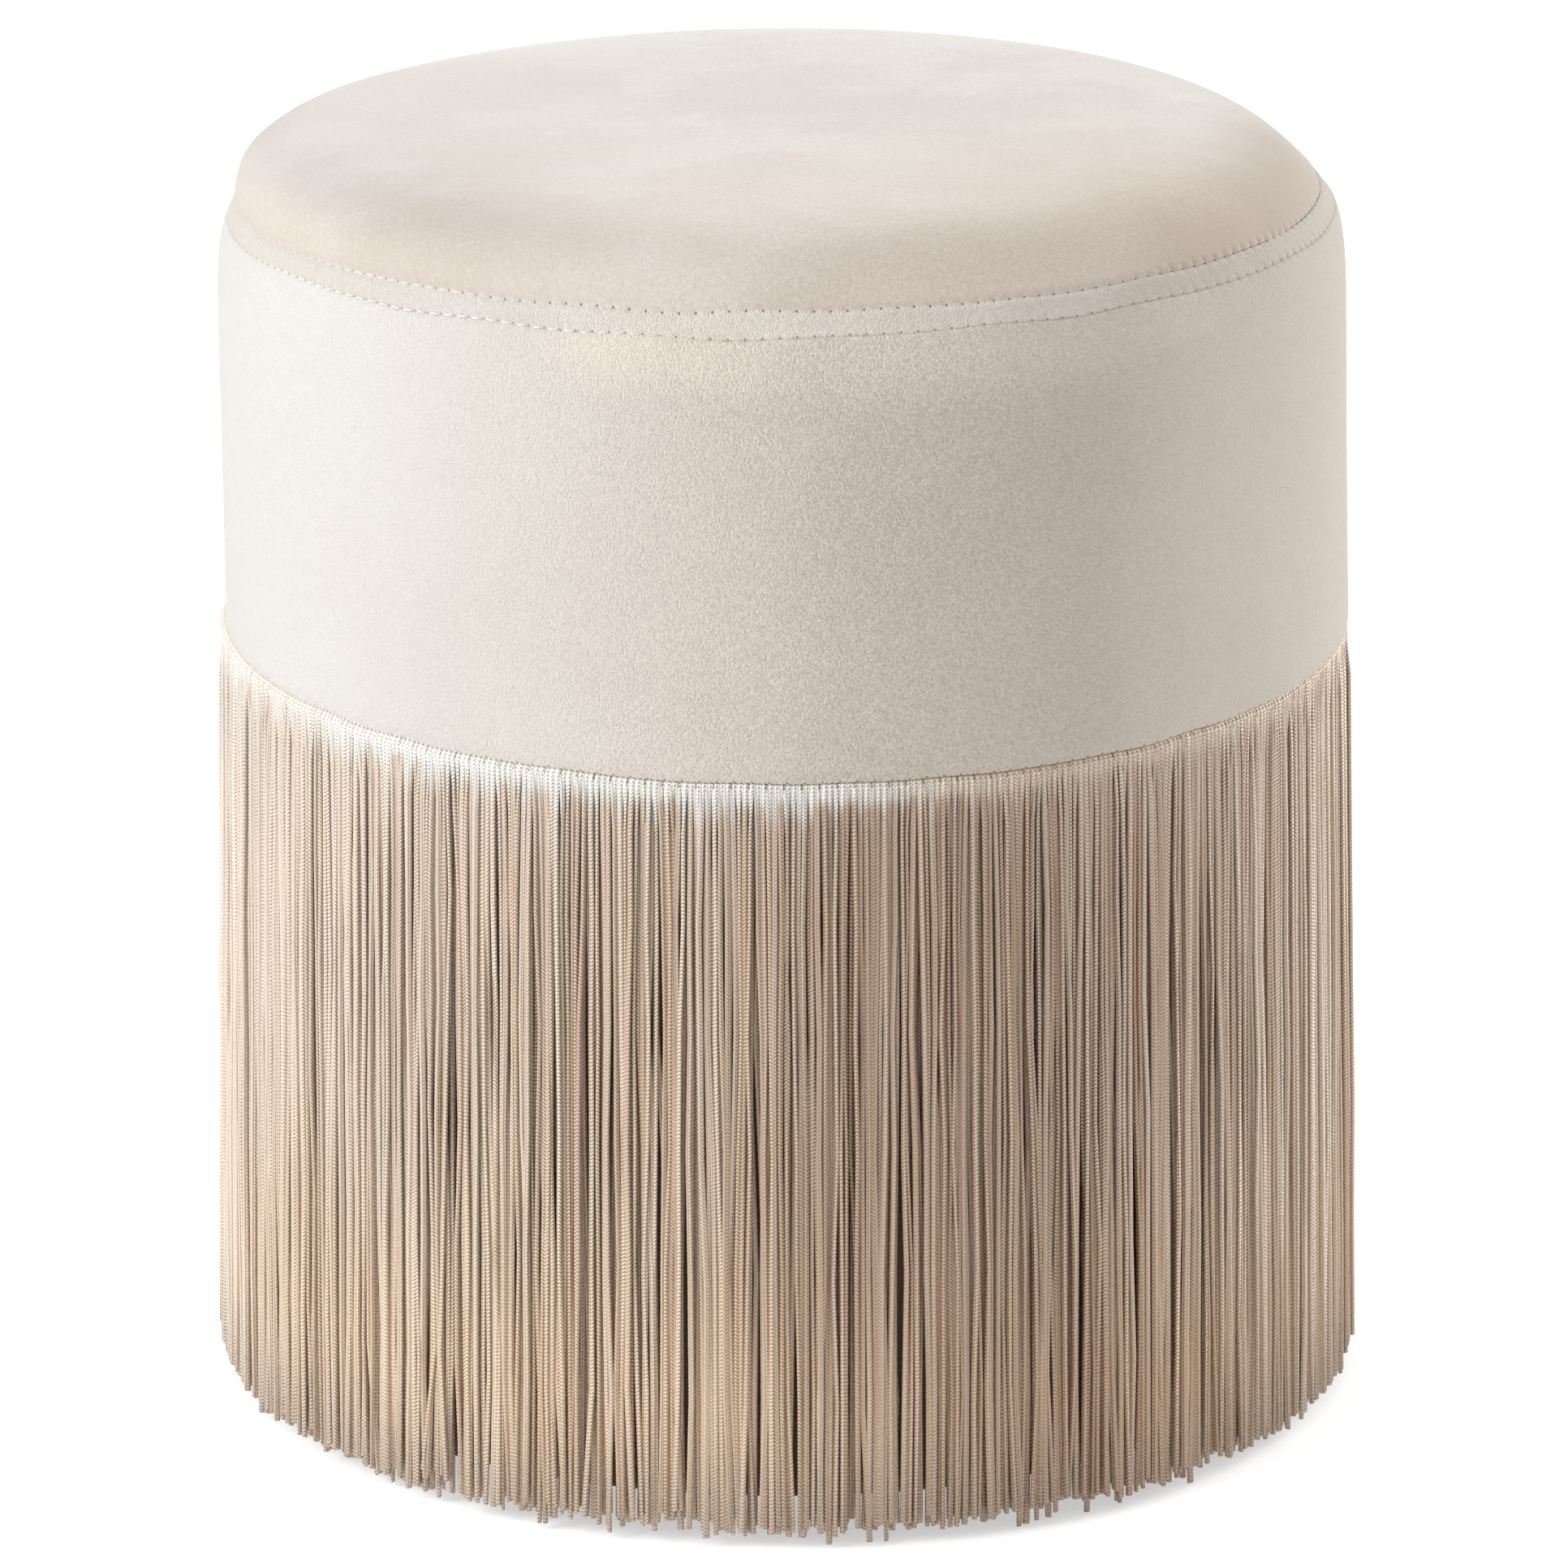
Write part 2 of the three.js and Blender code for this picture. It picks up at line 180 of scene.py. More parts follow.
def build_mesh(name, points, faces, maps=None, values=None):
    """A mesh object at the origin from points and lists of faces, with UV maps per corner and values per point."""
    loops = np.concatenate([f.reshape(-1) for f in faces]).astype(np.int32)
    sizes = np.concatenate([np.full(len(f), f.shape[1]) for f in faces]).astype(np.int32)
    starts = np.concatenate([[0], np.cumsum(sizes)[:-1]]).astype(np.int32)
    mesh = bpy.data.meshes.new(name)
    mesh.vertices.add(len(points))
    mesh.vertices.foreach_set("co", np.asarray(points, np.float32).reshape(-1))
    mesh.loops.add(len(loops))
    mesh.loops.foreach_set("vertex_index", loops)
    mesh.polygons.add(len(sizes))
    mesh.polygons.foreach_set("loop_start", starts)
    mesh.polygons.foreach_set("loop_total", sizes)
    mesh.update(calc_edges=True)
    for key, uv in (maps or {}).items():
        layer = mesh.uv_layers.new(name=key)
        layer.data.foreach_set("uv", np.asarray(uv, np.float32).reshape(-1))
    for key, value in (values or {}).items():
        layer = mesh.attributes.new(name=key, type="FLOAT", domain="POINT")
        layer.data.foreach_set("value", np.asarray(value, np.float32).reshape(-1))
    mesh.polygons.foreach_set("use_smooth", np.ones(len(sizes), bool))
    mesh.validate()
    piece = bpy.data.objects.new(name, mesh)
    bpy.context.scene.collection.objects.link(piece)
    return piece


def ring_faces(rows, columns, first=0, close_rows=False):
    """Quads between neighbouring rings of points, also from the last ring to the first if asked."""
    j = np.arange(rows if close_rows else rows - 1)[:, None]
    i = np.arange(columns)[None, :]
    up, on = (j + 1) % rows, (i + 1) % columns
    quads = np.stack([j * columns + i, j * columns + on, up * columns + on, up * columns + i], -1)
    return quads.reshape(-1, 4) + first


def ring_map(across, along, close_rows=False):
    """UV corners for ring_faces: across runs round the ring and isn't wrapped, along is one value for each point."""
    rows, columns = along.shape
    step = across[1] - across[0]
    left = np.broadcast_to(across, (rows, columns))
    right = left + step
    here, there = along, np.roll(along, -1, 1)
    up_here, up_there = np.roll(here, -1, 0), np.roll(there, -1, 0)
    corners = np.stack([np.stack([left, here], -1), np.stack([right, there], -1),
                        np.stack([right, up_there], -1), np.stack([left, up_here], -1)], 2)
    if not close_rows:
        corners = corners[:-1]
    return corners.reshape(-1, 2)


def flat_map(grid):
    """UV corners for ring_faces from a grid of UV points that joins up round the ring."""
    on = np.roll(grid, -1, 1)
    return np.stack([grid[:-1], on[:-1], on[1:], grid[1:]], 2).reshape(-1, 2)


def build_domed(name, points, middles, maps=None):
    """A mesh of rings of points, closed at its first and its last ring by a fan round each of two middle points."""
    rows, columns = points.shape[:2]
    i = np.arange(columns)
    on = (i + 1) % columns
    last, centre = (rows - 1) * columns, rows * columns
    fans = [np.stack([np.full(columns, centre), on, i], -1),
            np.stack([last + i, last + on, np.full(columns, centre + 1)], -1)]
    points = np.concatenate([points.reshape(-1, 3), middles])
    return build_mesh(name, points, [ring_faces(rows, columns)] + fans, maps)


def round_angles(count):
    """Even angles once round the drum, from the back, where every join is."""
    return np.pi / 2 + np.arange(count) * 2 * np.pi / count


def hem_height(angle):
    """Height of the velvet's lower edge: the hem, tilted a little to the front, with a slight waver."""
    return HEM_HEIGHT + HEM_TILT * WALL_RADIUS * np.sin(angle) + HEM_WAVER * waves(angle, 9, 40, 11)


def seam_line(angle):
    """Radius and height of the seam between wall and seat, lopsided and tilted, with a dip near the front."""
    co, si = np.cos(angle), np.sin(angle)
    twice = np.cos(2 * angle)
    r = SEAM_RADIUS + SEAM_LOPSIDED * co + SEAM_OVAL * twice
    z = SEAM_HEIGHT + r * (SEAM_TILT_X * co + SEAT_TILT_Y * si) + SEAM_SADDLE * twice
    z = z + ROW_WAVER * waves(angle, 5, 26, 3)
    return r, z - SEAM_DIP * hump(angle, -95, math.degrees(0.12))


def row_waver(angle):
    """Slight rise and fall of the row of topstitching."""
    return ROW_WAVER * waves(angle, 5, 26, 4)


def topstitch_line(angle):
    """Radius and height of the row of topstitching, a finger's width above the seam."""
    co, si = np.cos(angle), np.sin(angle)
    twice = np.cos(2 * angle)
    r = TOPSTITCH_RADIUS + TOPSTITCH_LOPSIDED * co + TOPSTITCH_OVAL * twice
    z = TOPSTITCH_HEIGHT + r * (TOPSTITCH_TILT_X * co + SEAT_TILT_Y * si) + TOPSTITCH_SADDLE * twice
    return r, z + row_waver(angle)


def cover_surface(angle, run):
    """Outside of the covers, one row for each run.

    Run 0 to 1 goes up the wall from hem to seam: an even cylinder whose radius falls by a high power of the run to
    the seam's. Run 1 to 2 is the band, straight with a slight swell. Run 2 to 3 is the seat's panel, whose height
    over the topstitching is the rise times (1 - (k s)^p)^(1/q), less its value at the row, s being the share of the
    radius and k the row's reach towards the upright, with a low dome added. q and k differ round the drum, and k is
    held smoothly below its most. The row's waver dies away over the panel by a high power of s.
    """
    angle, run = np.asarray(angle), np.asarray(run)[:, None]
    co, si = np.cos(angle), np.sin(angle)
    seam_r, seam_z = seam_line(angle)
    top_r, top_z = topstitch_line(angle)
    hem_z = hem_height(angle)
    w = np.clip(run, 0, 1)
    wall_r = WALL_RADIUS + WALL_DRAW_IN * (2 * w - 1) + WALL_WAVER * waves(angle, 2, 7, 21) * np.sin(np.pi * w)
    r = wall_r - (wall_r - seam_r) * w ** SHOULDER_POWER
    z = hem_z + (seam_z - hem_z) * w
    shift = WALL_SHIFT_HEM + (SEAT_SHIFT - WALL_SHIFT_HEM) * w
    b = np.clip(run - 1, 0, 1)
    swell = BAND_SWELL * 4 * b * (1 - b)
    r = np.where(run > 1, seam_r + (top_r - seam_r) * b + swell, r)
    z = np.where(run > 1, seam_z + (top_z - seam_z) * b + 0.5 * swell, z)
    s = 1 - np.clip(run - 2, 0, 1) ** 2.2
    q = np.clip(CROWN_ROUND + CROWN_ROUND_SIDE * co + CROWN_ROUND_BACK * si, 0.7, 4.0)
    q = q + CROWN_ROUND_LEFT_BACK * hump(angle, 155, 32) + CROWN_ROUND_RIGHT_BACK * hump(angle, 25, 25)
    short = REACH_MOST - (CROWN_REACH + CROWN_REACH_SIDE * co + CROWN_REACH_BACK * si)
    k = REACH_MOST - (short + np.sqrt(short ** 2 + REACH_SOFT ** 2)) / 2
    full = (1 - (k * s) ** CROWN_POWER) ** (1 / q)
    rim = (1 - k ** CROWN_POWER) ** (1 / q)
    rise = CROWN_RISE * ((1 - CROWN_DOME) * (full - rim) / (1 - rim) + CROWN_DOME * (1 - s ** 2))
    waver = row_waver(angle)
    tilt = s * (top_z - waver - TOPSTITCH_HEIGHT) + s ** WAVER_POWER * waver
    soft = SEAT_WAVER * waves(angle, 2, 5, 31) * np.sin(np.pi * s) ** 2
    r = np.where(run > 2, top_r * s, r)
    z = np.where(run > 2, TOPSTITCH_HEIGHT + tilt + rise + soft, z)
    shift = np.where(run > 1, SEAT_SHIFT, shift)
    return round_points(r, angle, z, shift)


def section_frame(points):
    """Directions in each section: along the run, and outwards at right angles to it."""
    along = unit(np.gradient(points, axis=0))
    around = unit(np.roll(points, -1, 1) - np.roll(points, 1, 1))
    return along, unit(np.cross(around, along))


def rolled_edge(end, along, outward):
    """Half an oval roll, as deep as the cloth is thick, from the outside at end, along and round to the inside."""
    c = VELVET_THICKNESS / 2
    t = np.linspace(0, np.pi, ROLL_STEPS + 2)[1:-1][:, None, None]
    return end[None] + EDGE_ROLL * np.sin(t) * along[None] - c * (1 - np.cos(t)) * outward[None]


def row_lengths(points):
    """Length along the run from the first row of points, for each point."""
    steps = np.linalg.norm(np.diff(points, axis=0), axis=-1)
    return np.concatenate([np.zeros((1, points.shape[1])), np.cumsum(steps, 0)])


def make_wall_velvet():
    """Wall cover, one closed shell: outside from hem to seam, a roll at each edge, and inside one thickness in."""
    angle = round_angles(ROUND)
    wall_height = SEAM_HEIGHT - HEM_HEIGHT
    spare = (EDGE_ROLL + SEAM_GAP / 2) / wall_height
    run = np.concatenate([np.linspace(EDGE_ROLL / wall_height, 0.80, 26), np.linspace(0.82, 1 - spare, 18)])
    outer = cover_surface(angle, run)
    along, outward = section_frame(outer)
    length = row_lengths(outer)
    inner_rows = np.array([0, 6, 12, 18, 24, 28, 32, 36, 40, len(run) - 1])[::-1]
    inner = outer[inner_rows] - VELVET_THICKNESS * outward[inner_rows]
    top = rolled_edge(outer[-1], along[-1], outward[-1])
    bottom = rolled_edge(outer[0], -along[0], outward[0])[::-1]
    points = np.concatenate([outer, top, inner, bottom])
    total = length[-1]
    v = np.concatenate([length, np.tile(total, (ROLL_STEPS, 1)) + EDGE_ROLL, length[inner_rows],
                        np.zeros((ROLL_STEPS, ROUND)) - EDGE_ROLL])
    past = np.repeat(np.array([[0.1], [0.6], [1.2], [1.8]]), ROUND, 1)
    below_seam = np.concatenate([(length - total) * 1000, past, np.full((len(inner_rows), ROUND), 3.0),
                                 np.tile(-total * 1000, (ROLL_STEPS, 1))])
    maps = {"cloth": ring_map(np.arange(ROUND) * 2 * np.pi * WALL_RADIUS / ROUND, v, close_rows=True),
            "stitch": ring_map(np.arange(ROUND) * STITCHES / ROUND, below_seam, close_rows=True)}
    return build_mesh("wall_velvet", points.reshape(-1, 3), [ring_faces(len(points), ROUND, close_rows=True)], maps)


def make_seat_velvet():
    """Seat cover: the band and the crowned panel to its middle, with a groove pulled in along the topstitching,
    closed by a roll at the seam and an inside one thickness further in. The two middles are single points."""
    angle = round_angles(ROUND)
    spare = (EDGE_ROLL + SEAM_GAP / 2) / (ROW_GAP_MM / 1000)
    band = np.linspace(1 + spare, 2.0, 18)
    panel = 2 + np.linspace(0, 0.995, 46)[1:]
    run = np.concatenate([band, panel])
    outer = cover_surface(angle, run)
    along, outward = section_frame(outer)
    length = row_lengths(outer)
    from_row = length - length[len(band) - 1]
    outer = outer - (GROOVE_DEPTH * np.exp(-(from_row / GROOVE_WIDTH) ** 2))[..., None] * outward
    inner_rows = np.concatenate([np.arange(0, len(run), 5), [len(run) - 1]])[::-1]
    inner = outer[inner_rows] - VELVET_THICKNESS * outward[inner_rows]
    bottom = rolled_edge(outer[0], -along[0], outward[0])[::-1]
    points = np.concatenate([inner, bottom, outer])
    in_band = np.clip((run - 1)[:, None], 0, 1) * ROW_GAP_MM + np.clip(from_row, 0, None) * 1000
    v = np.concatenate([length[inner_rows], np.zeros((ROLL_STEPS, ROUND)), length])
    past = np.repeat(np.array([[-1.8], [-1.2], [-0.6], [-0.1]]), ROUND, 1)
    above_seam = np.concatenate([np.full((len(inner_rows), ROUND), -3.0), past, in_band])
    middles = np.array([points[0].mean(0), points[-1].mean(0)])
    to_middle = length[-1] + np.linalg.norm(outer[-1] - middles[1], axis=-1) - v
    cloth = np.stack([to_middle * np.cos(angle), to_middle * np.sin(angle)], -1)
    cloth_on, centre = np.roll(cloth, -1, 1), np.zeros((ROUND, 2))
    cloth_fans = [np.stack([centre, cloth_on[0], cloth[0]], 1), np.stack([cloth[-1], cloth_on[-1], centre], 1)]
    stitch = np.arange(ROUND) * STITCHES / ROUND
    stitch_fans = [np.stack([np.stack([u, above_seam[row]], -1) for u in (stitch, stitch + stitch[1], stitch)], 1)
                   for row in (0, -1)]
    maps = {"cloth": np.concatenate([flat_map(cloth)] + [fan.reshape(-1, 2) for fan in cloth_fans]),
            "stitch": np.concatenate([ring_map(stitch, above_seam)] + [fan.reshape(-1, 2) for fan in stitch_fans])}
    return build_domed("seat_velvet", points, middles, maps)


def thread_row(name, angle, points, outward, length, sink, seed):
    """Short stitches along a row: each a thin tube of five sides that lies on the cloth and dives in at both ends.

    angle and points sample the row closely. The middle of a stitch lies below the cloth's surface by sink, and its
    ends go in further by the fourth power of the distance from the middle."""
    rng = np.random.default_rng(seed)
    sides, rings = 5, 6
    centre = (np.arange(STITCHES) + 0.5) * 2 * np.pi / STITCHES + angle[0]
    t = np.linspace(-1, 1, rings)
    half = length / 2 / SEAM_RADIUS * (1 + 0.08 * rng.standard_normal(STITCHES))
    where = centre[:, None] + half[:, None] * t[None, :] + 0.02 / STITCHES * rng.standard_normal(STITCHES)[:, None]
    turn = (where - angle[0]) % (2 * np.pi) / (2 * np.pi) * len(angle)
    low = np.floor(turn).astype(int)
    mix = (turn - low)[..., None]
    low, high = low % len(angle), (low + 1) % len(angle)
    base = points[low] * (1 - mix) + points[high] * mix
    out = unit(outward[low] * (1 - mix) + outward[high] * mix)
    sunk = np.interp(centre, np.concatenate([angle, [angle[0] + 2 * np.pi]]), np.concatenate([sink, sink[:1]]))
    depth = -sunk[:, None] - STITCH_DIVE * np.abs(t[None, :]) ** 4
    line = base + depth[..., None] * out
    across = np.cross(unit(np.gradient(line, axis=1)), out)
    phi = np.arange(sides) * 2 * np.pi / sides
    ring = np.cos(phi)[:, None] * out[:, :, None] + np.sin(phi)[:, None] * across[:, :, None]
    tube = line[:, :, None] + THREAD_RADIUS * ring
    first = (np.arange(STITCHES) * rings * sides)[:, None]
    body = ring_faces(rings, sides)[:, ::-1]
    quads = (body[None] + first[:, :, None]).reshape(-1, 4)
    front = np.arange(sides)[None] + first
    back = ((rings - 1) * sides + np.arange(sides)[::-1])[None] + first
    along = np.repeat(np.tile(t * length / 2, STITCHES), sides)
    return build_mesh(name, tube.reshape(-1, 3), [quads, front, back], values={"run": along})


def cord_lines(count, top_r, end_r, lower, seed):
    """Middle lines of one layer of cords, as angle, radius and height on each ring.

    Cords leave the heading behind the hem, bend out under it by a quarter round and hang with a slight flare. Each
    stands at its even place plus a jitter, drawn a little towards the middle of its group of three to six. Lower
    down, a smooth drift shared by neighbours and a small one of its own are added in proportion to the depth."""
    rng = np.random.default_rng(seed)
    pitch = 2 * np.pi / count
    base = np.pi / 2 + (np.arange(count) + 0.5) * pitch
    groups = np.cumsum(rng.integers(3, 7, count))
    groups = groups[groups < count]
    group = np.searchsorted(groups, np.arange(count), side="right")
    number = group.max() + 1
    middle = np.bincount(group, base, number) / np.bincount(group, minlength=number)
    pull = (middle[group] - base) * rng.uniform(0.05, 0.32, number)[group]
    jitter = CORD_JITTER * pitch * rng.standard_normal(count)
    lean = CORD_SHARED_LEAN * waves(base, 18, 70, seed + 1) + CORD_GROUP_LEAN * rng.standard_normal(number)[group]
    sway = CORD_SWAY * waves(base, 30, 110, seed + 7)
    own = CORD_LEAN * rng.standard_normal(count)
    curl = CORD_CURL * rng.standard_normal(count)
    end = CORD_END + GROUP_CUT * rng.standard_normal(number)[group] + CORD_CUT * rng.standard_normal(count)
    stray = rng.random(count) < STRAY_SHARE
    end = np.clip(end + np.where(stray, rng.normal(0.0, STRAY_CUT, count), 0), *CUT_RANGE)
    share = np.array([0.0, 0.05, 0.17, 0.32, 0.48, 0.65, 0.82, 1.0])
    hem = hem_height(base)
    top_z = hem - CORD_TOP - lower
    behind = np.stack([hem + 0.0030, hem - 0.0008 - lower * 0.5, hem - 0.0019 - lower * 0.8], 1)
    hanging = top_z[:, None] + (end - top_z)[:, None] * share[None, :]
    heights = np.concatenate([behind, hanging], 1)
    down = np.clip((top_z[:, None] - heights) / (top_z - CORD_END)[:, None], 0, None)
    bend = [HEADING_RADIUS, HEADING_RADIUS + 0.80 * (top_r - HEADING_RADIUS), top_r]
    start = np.broadcast_to(np.array(bend), (count, 3))
    radius = np.concatenate([start, np.broadcast_to(top_r, (count, len(share)))], 1) + (end_r - top_r) * down
    place = 0.00035 * rng.standard_normal(count)[:, None]
    radius = radius + np.where(down > 0, 1, 0) * (place + curl[:, None] * np.sin(3 * down))
    side = pull[:, None] * np.clip(3 * down, 0, 1) + jitter[:, None] * np.clip(0.1 + 4 * down, 0, 1)
    waver = CORD_WAVER * rng.standard_normal((count, heights.shape[1])) * np.clip(4 * down, 0, 1)
    flick = np.where(stray, 0.0022, 0.0004) * rng.standard_normal(count)
    side = side + ((lean + own)[:, None] * down + sway[:, None] * np.sin(2 * np.pi * down) + waver) / WALL_RADIUS
    side[:, -1] += flick / WALL_RADIUS
    radius = radius + 0.0002 * rng.standard_normal(radius.shape) * np.clip(4 * down, 0, 1)
    return base, base[:, None] + side, radius, heights


def make_fringe(name, middle_angle):
    """A quarter of the fringe: the cords whose place is within 45 degrees of middle_angle, in three layers, and their
    slice of the heading. A cord is a tube of flattened section, turned about its own line, and splayed at the hem."""
    points, quads, caps_top, caps_end, uv_tube, shades, depths, outs = [], [], [], [], [], [], [], []
    first = 0
    phi = np.arange(CORD_SIDES) * 2 * np.pi / CORD_SIDES
    for k, (count, top_r, end_r, lower) in enumerate(CORD_LAYERS):
        base, angle, radius, height = cord_lines(count, top_r, end_r, lower, 100 + k)
        rng = np.random.default_rng(500 + k)
        turn = rng.uniform(-np.pi / 2, np.pi / 2, count)
        twist = rng.normal(0, 0.8, count)
        broad = rng.uniform(0.86, 1.08, count)
        shade = np.clip(0.5 + 0.26 * rng.standard_normal(count) + 0.06 * waves(base, 3, 60, 60 + k), 0, 1)
        away = wrapped(base - middle_angle)
        mine = (away >= -np.pi / 4) & (away < np.pi / 4)
        angle, radius, height = (a[mine] for a in (angle, radius, height))
        turn, twist, shade, broad = (a[mine] for a in (turn, twist, shade, broad))
        n, rings = angle.shape
        shift = CORD_SHIFT * (1 - height / HEM_HEIGHT)
        line = round_points(radius, angle, height, shift)
        side = np.stack([-np.sin(angle), np.cos(angle), 0 * angle], -1)
        ahead = unit(np.gradient(line, axis=1))
        outward = unit(np.cross(ahead, side))
        side = np.cross(outward, ahead)
        length = row_lengths(line.swapaxes(0, 1)).T
        tau = turn[:, None] + twist[:, None] * length / length[:, -1:]
        tau = tau * np.clip((length - CORD_BEND) / 0.009, 0, 1)
        splay = 1 + CORD_SPLAY * np.clip(1 - (length - CORD_BEND) / 0.006, 0, 1)
        one = np.cos(tau)[..., None] * side + np.sin(tau)[..., None] * outward
        two = -np.sin(tau)[..., None] * side + np.cos(tau)[..., None] * outward
        width = CORD_WIDTH / 2 * splay[..., None, None] * np.cos(phi)[:, None] * one[:, :, None]
        thickness = CORD_THICKNESS / 2 * np.sin(phi)[:, None] * two[:, :, None]
        tube = line[:, :, None] + broad[:, None, None, None] * (width + thickness)
        points.append(tube.reshape(-1, 3))
        start = (first + np.arange(n) * rings * CORD_SIDES)[:, None]
        quads.append((ring_faces(rings, CORD_SIDES)[None] + start[:, :, None]).reshape(-1, 4))
        caps_top.append(np.arange(CORD_SIDES)[::-1][None] + start)
        caps_end.append((rings - 1) * CORD_SIDES + np.arange(CORD_SIDES)[None] + start)
        turns = np.arange(CORD_SIDES) / CORD_SIDES
        uv_tube += [ring_map(turns, np.repeat(length[c][:, None], CORD_SIDES, 1)) for c in range(n)]
        shades.append(np.repeat(shade, rings * CORD_SIDES))
        depths.append(np.full(n * rings * CORD_SIDES, k / 2.0))
        outs.append(np.sin(phi[None, None, :] + tau[:, :, None]).reshape(-1))
        first += n * rings * CORD_SIDES
    tape = heading_slice(middle_angle)
    tape_quads = tape_faces(tape.shape[1]) + first
    points.append(tape.reshape(-1, 3))
    for values, value in ((shades, 0.5), (depths, 1.0), (outs, 1.0)):
        values.append(np.full(tape.size // 3, value))
    cap_count = sum(len(c) for c in caps_top) * 2
    uv_all = np.concatenate(uv_tube + [np.zeros((len(tape_quads) * 4, 2)), np.zeros((cap_count * CORD_SIDES, 2))])
    faces = [np.concatenate(quads + [tape_quads]), np.concatenate(caps_top + caps_end)]
    # outward, how far each side of a cord faces out, and layer are read by the cord finish to paint shade on sides
    # turned away and on the layers behind; the heading tape counts as fully behind.
    values = {key: np.concatenate(parts) for key, parts in (("shade", shades), ("layer", depths), ("outward", outs))}
    return build_mesh(name, np.concatenate(points), faces, {"cord": uv_all}, values)


def heading_slice(middle_angle):
    """The woven tape that the cords hang from: a bent strip of rectangular section, as four corner lines."""
    angle = middle_angle + np.linspace(-np.pi / 4 + 0.002, np.pi / 4 - 0.002, 61)
    low, high = HEM_HEIGHT + 0.0018, HEM_HEIGHT + 0.0138
    near, far = HEADING_RADIUS - HEADING_THICKNESS / 2, HEADING_RADIUS + HEADING_THICKNESS / 2
    corners = ((near, low), (far, low), (far, high), (near, high))
    return np.stack([round_points(r, angle, z) for r, z in corners])


def tape_faces(count):
    """Quads of a bent strip of four corner lines, with its two ends closed."""
    j, i = np.arange(4)[:, None], np.arange(count - 1)[None, :]
    up = (j + 1) % 4
    sides = np.stack([j * count + i, j * count + i + 1, up * count + i + 1, up * count + i], -1).reshape(-1, 4)
    ends = np.array([[3 * count, 2 * count, count, 0], [count - 1, 2 * count - 1, 3 * count - 1, 4 * count - 1]])
    return np.concatenate([sides, ends])


def turned_shell(name, profile, columns, waver):
    """A closed section of radius and height carried round the axis. waver gives what is added to each of the two."""
    angle = round_angles(columns)
    profile = np.asarray(profile, float)
    r = np.repeat(profile[:, :1], columns, 1)
    z = np.repeat(profile[:, 1:], columns, 1)
    dr, dz = waver(angle, r, z)
    points = round_points(r + dr, angle, z + dz)
    across = np.arange(columns) * 2 * np.pi * profile[:, 0].max() / columns
    uv = {"cloth": ring_map(across, row_lengths(points), close_rows=True)}
    return build_mesh(name, points.reshape(-1, 3), [ring_faces(len(profile), columns, close_rows=True)], uv)


def rounded_section(corners, radii, steps=4):
    """A closed section with each corner turned by an arc of its radius, in the order given."""
    corners = np.asarray(corners, float)
    out = []
    for k in range(len(corners)):
        here, before, after = corners[k], corners[k - 1], corners[(k + 1) % len(corners)]
        a, b = before - here, after - here
        a, b = a / np.linalg.norm(a), b / np.linalg.norm(b)
        t = np.linspace(0, 1, steps + 1)[:, None]
        start, end = here + a * radii[k], here + b * radii[k]
        out.append((1 - t) ** 2 * start + 2 * t * (1 - t) * here + t ** 2 * end)
    return np.concatenate(out)


def spaced(section, gap):
    """The closed section with points added so that none are further apart than gap."""
    out = []
    for a, b in zip(section, np.roll(section, -1, 0)):
        n = max(1, int(np.ceil(np.linalg.norm(b - a) / gap)))
        out.append(a + (b - a) * (np.arange(n) / n)[:, None])
    return np.concatenate(out)


def make_lining():
    """Lower lining: a thin shell from behind the hem down the foam, round the base board's edge and under it,
    where it lies in small pleats."""
    t = 0.0008
    out_r, low, high, flap = 0.1703, 0.0132, 0.257, 0.1302
    outer = [(flap, low), (out_r - 0.002, low), (out_r - 0.0006, low + 0.0006), (out_r, low + 0.002), (out_r, high)]
    inner = [(out_r - t, high), (out_r - t, low + 0.0024), (out_r - t - 0.0004, low + t + 0.0006),
             (out_r - t - 0.0014, low + t), (flap, low + t)]
    section = spaced(np.array(outer + inner), 0.006)

    def pleats(angle, r, z):
        under = np.clip((r - 0.1465) / 0.004, 0, 1) * np.clip((0.1690 - r) / 0.004, 0, 1) * (z < 0.0145)
        dz = -0.00022 * under * (1 + np.sin(72 * angle + 2 * np.sin(5 * angle)))
        upright = (z > 0.02) & (r > out_r - 0.0002)
        return 0.00025 * upright * waves(angle, 6, 30, 41), dz

    return turned_shell("lining", section, 360, pleats)


def make_dust_cover():
    """Dust cover: a round of thin black cloth under the base board, drawn up at the staples and slack between."""
    angle = round_angles(PLAIN_ROUND)
    s = np.linspace(0.02, 1, 26)[:, None]
    radius, top, thickness = 0.1452, 0.0129, 0.0006
    sag = 0.0012 * (1 - s ** 2) ** 2
    edge = 0.0001 * s ** 8 * (1 + np.cos(8 * (angle - np.radians(22.5))))
    r = radius * s * (1 + 0.002 * np.sin(24 * angle) * s ** 6)
    upper = round_points(r, angle, top - sag - 0.5 * edge)
    lower = upper - np.array([0, 0, thickness])
    middles = np.array([[0, 0, lower[0, :, 2].mean()], [0, 0, upper[0, :, 2].mean()]])
    return build_domed("dust_cloth", np.concatenate([lower, upper[::-1]]), middles)


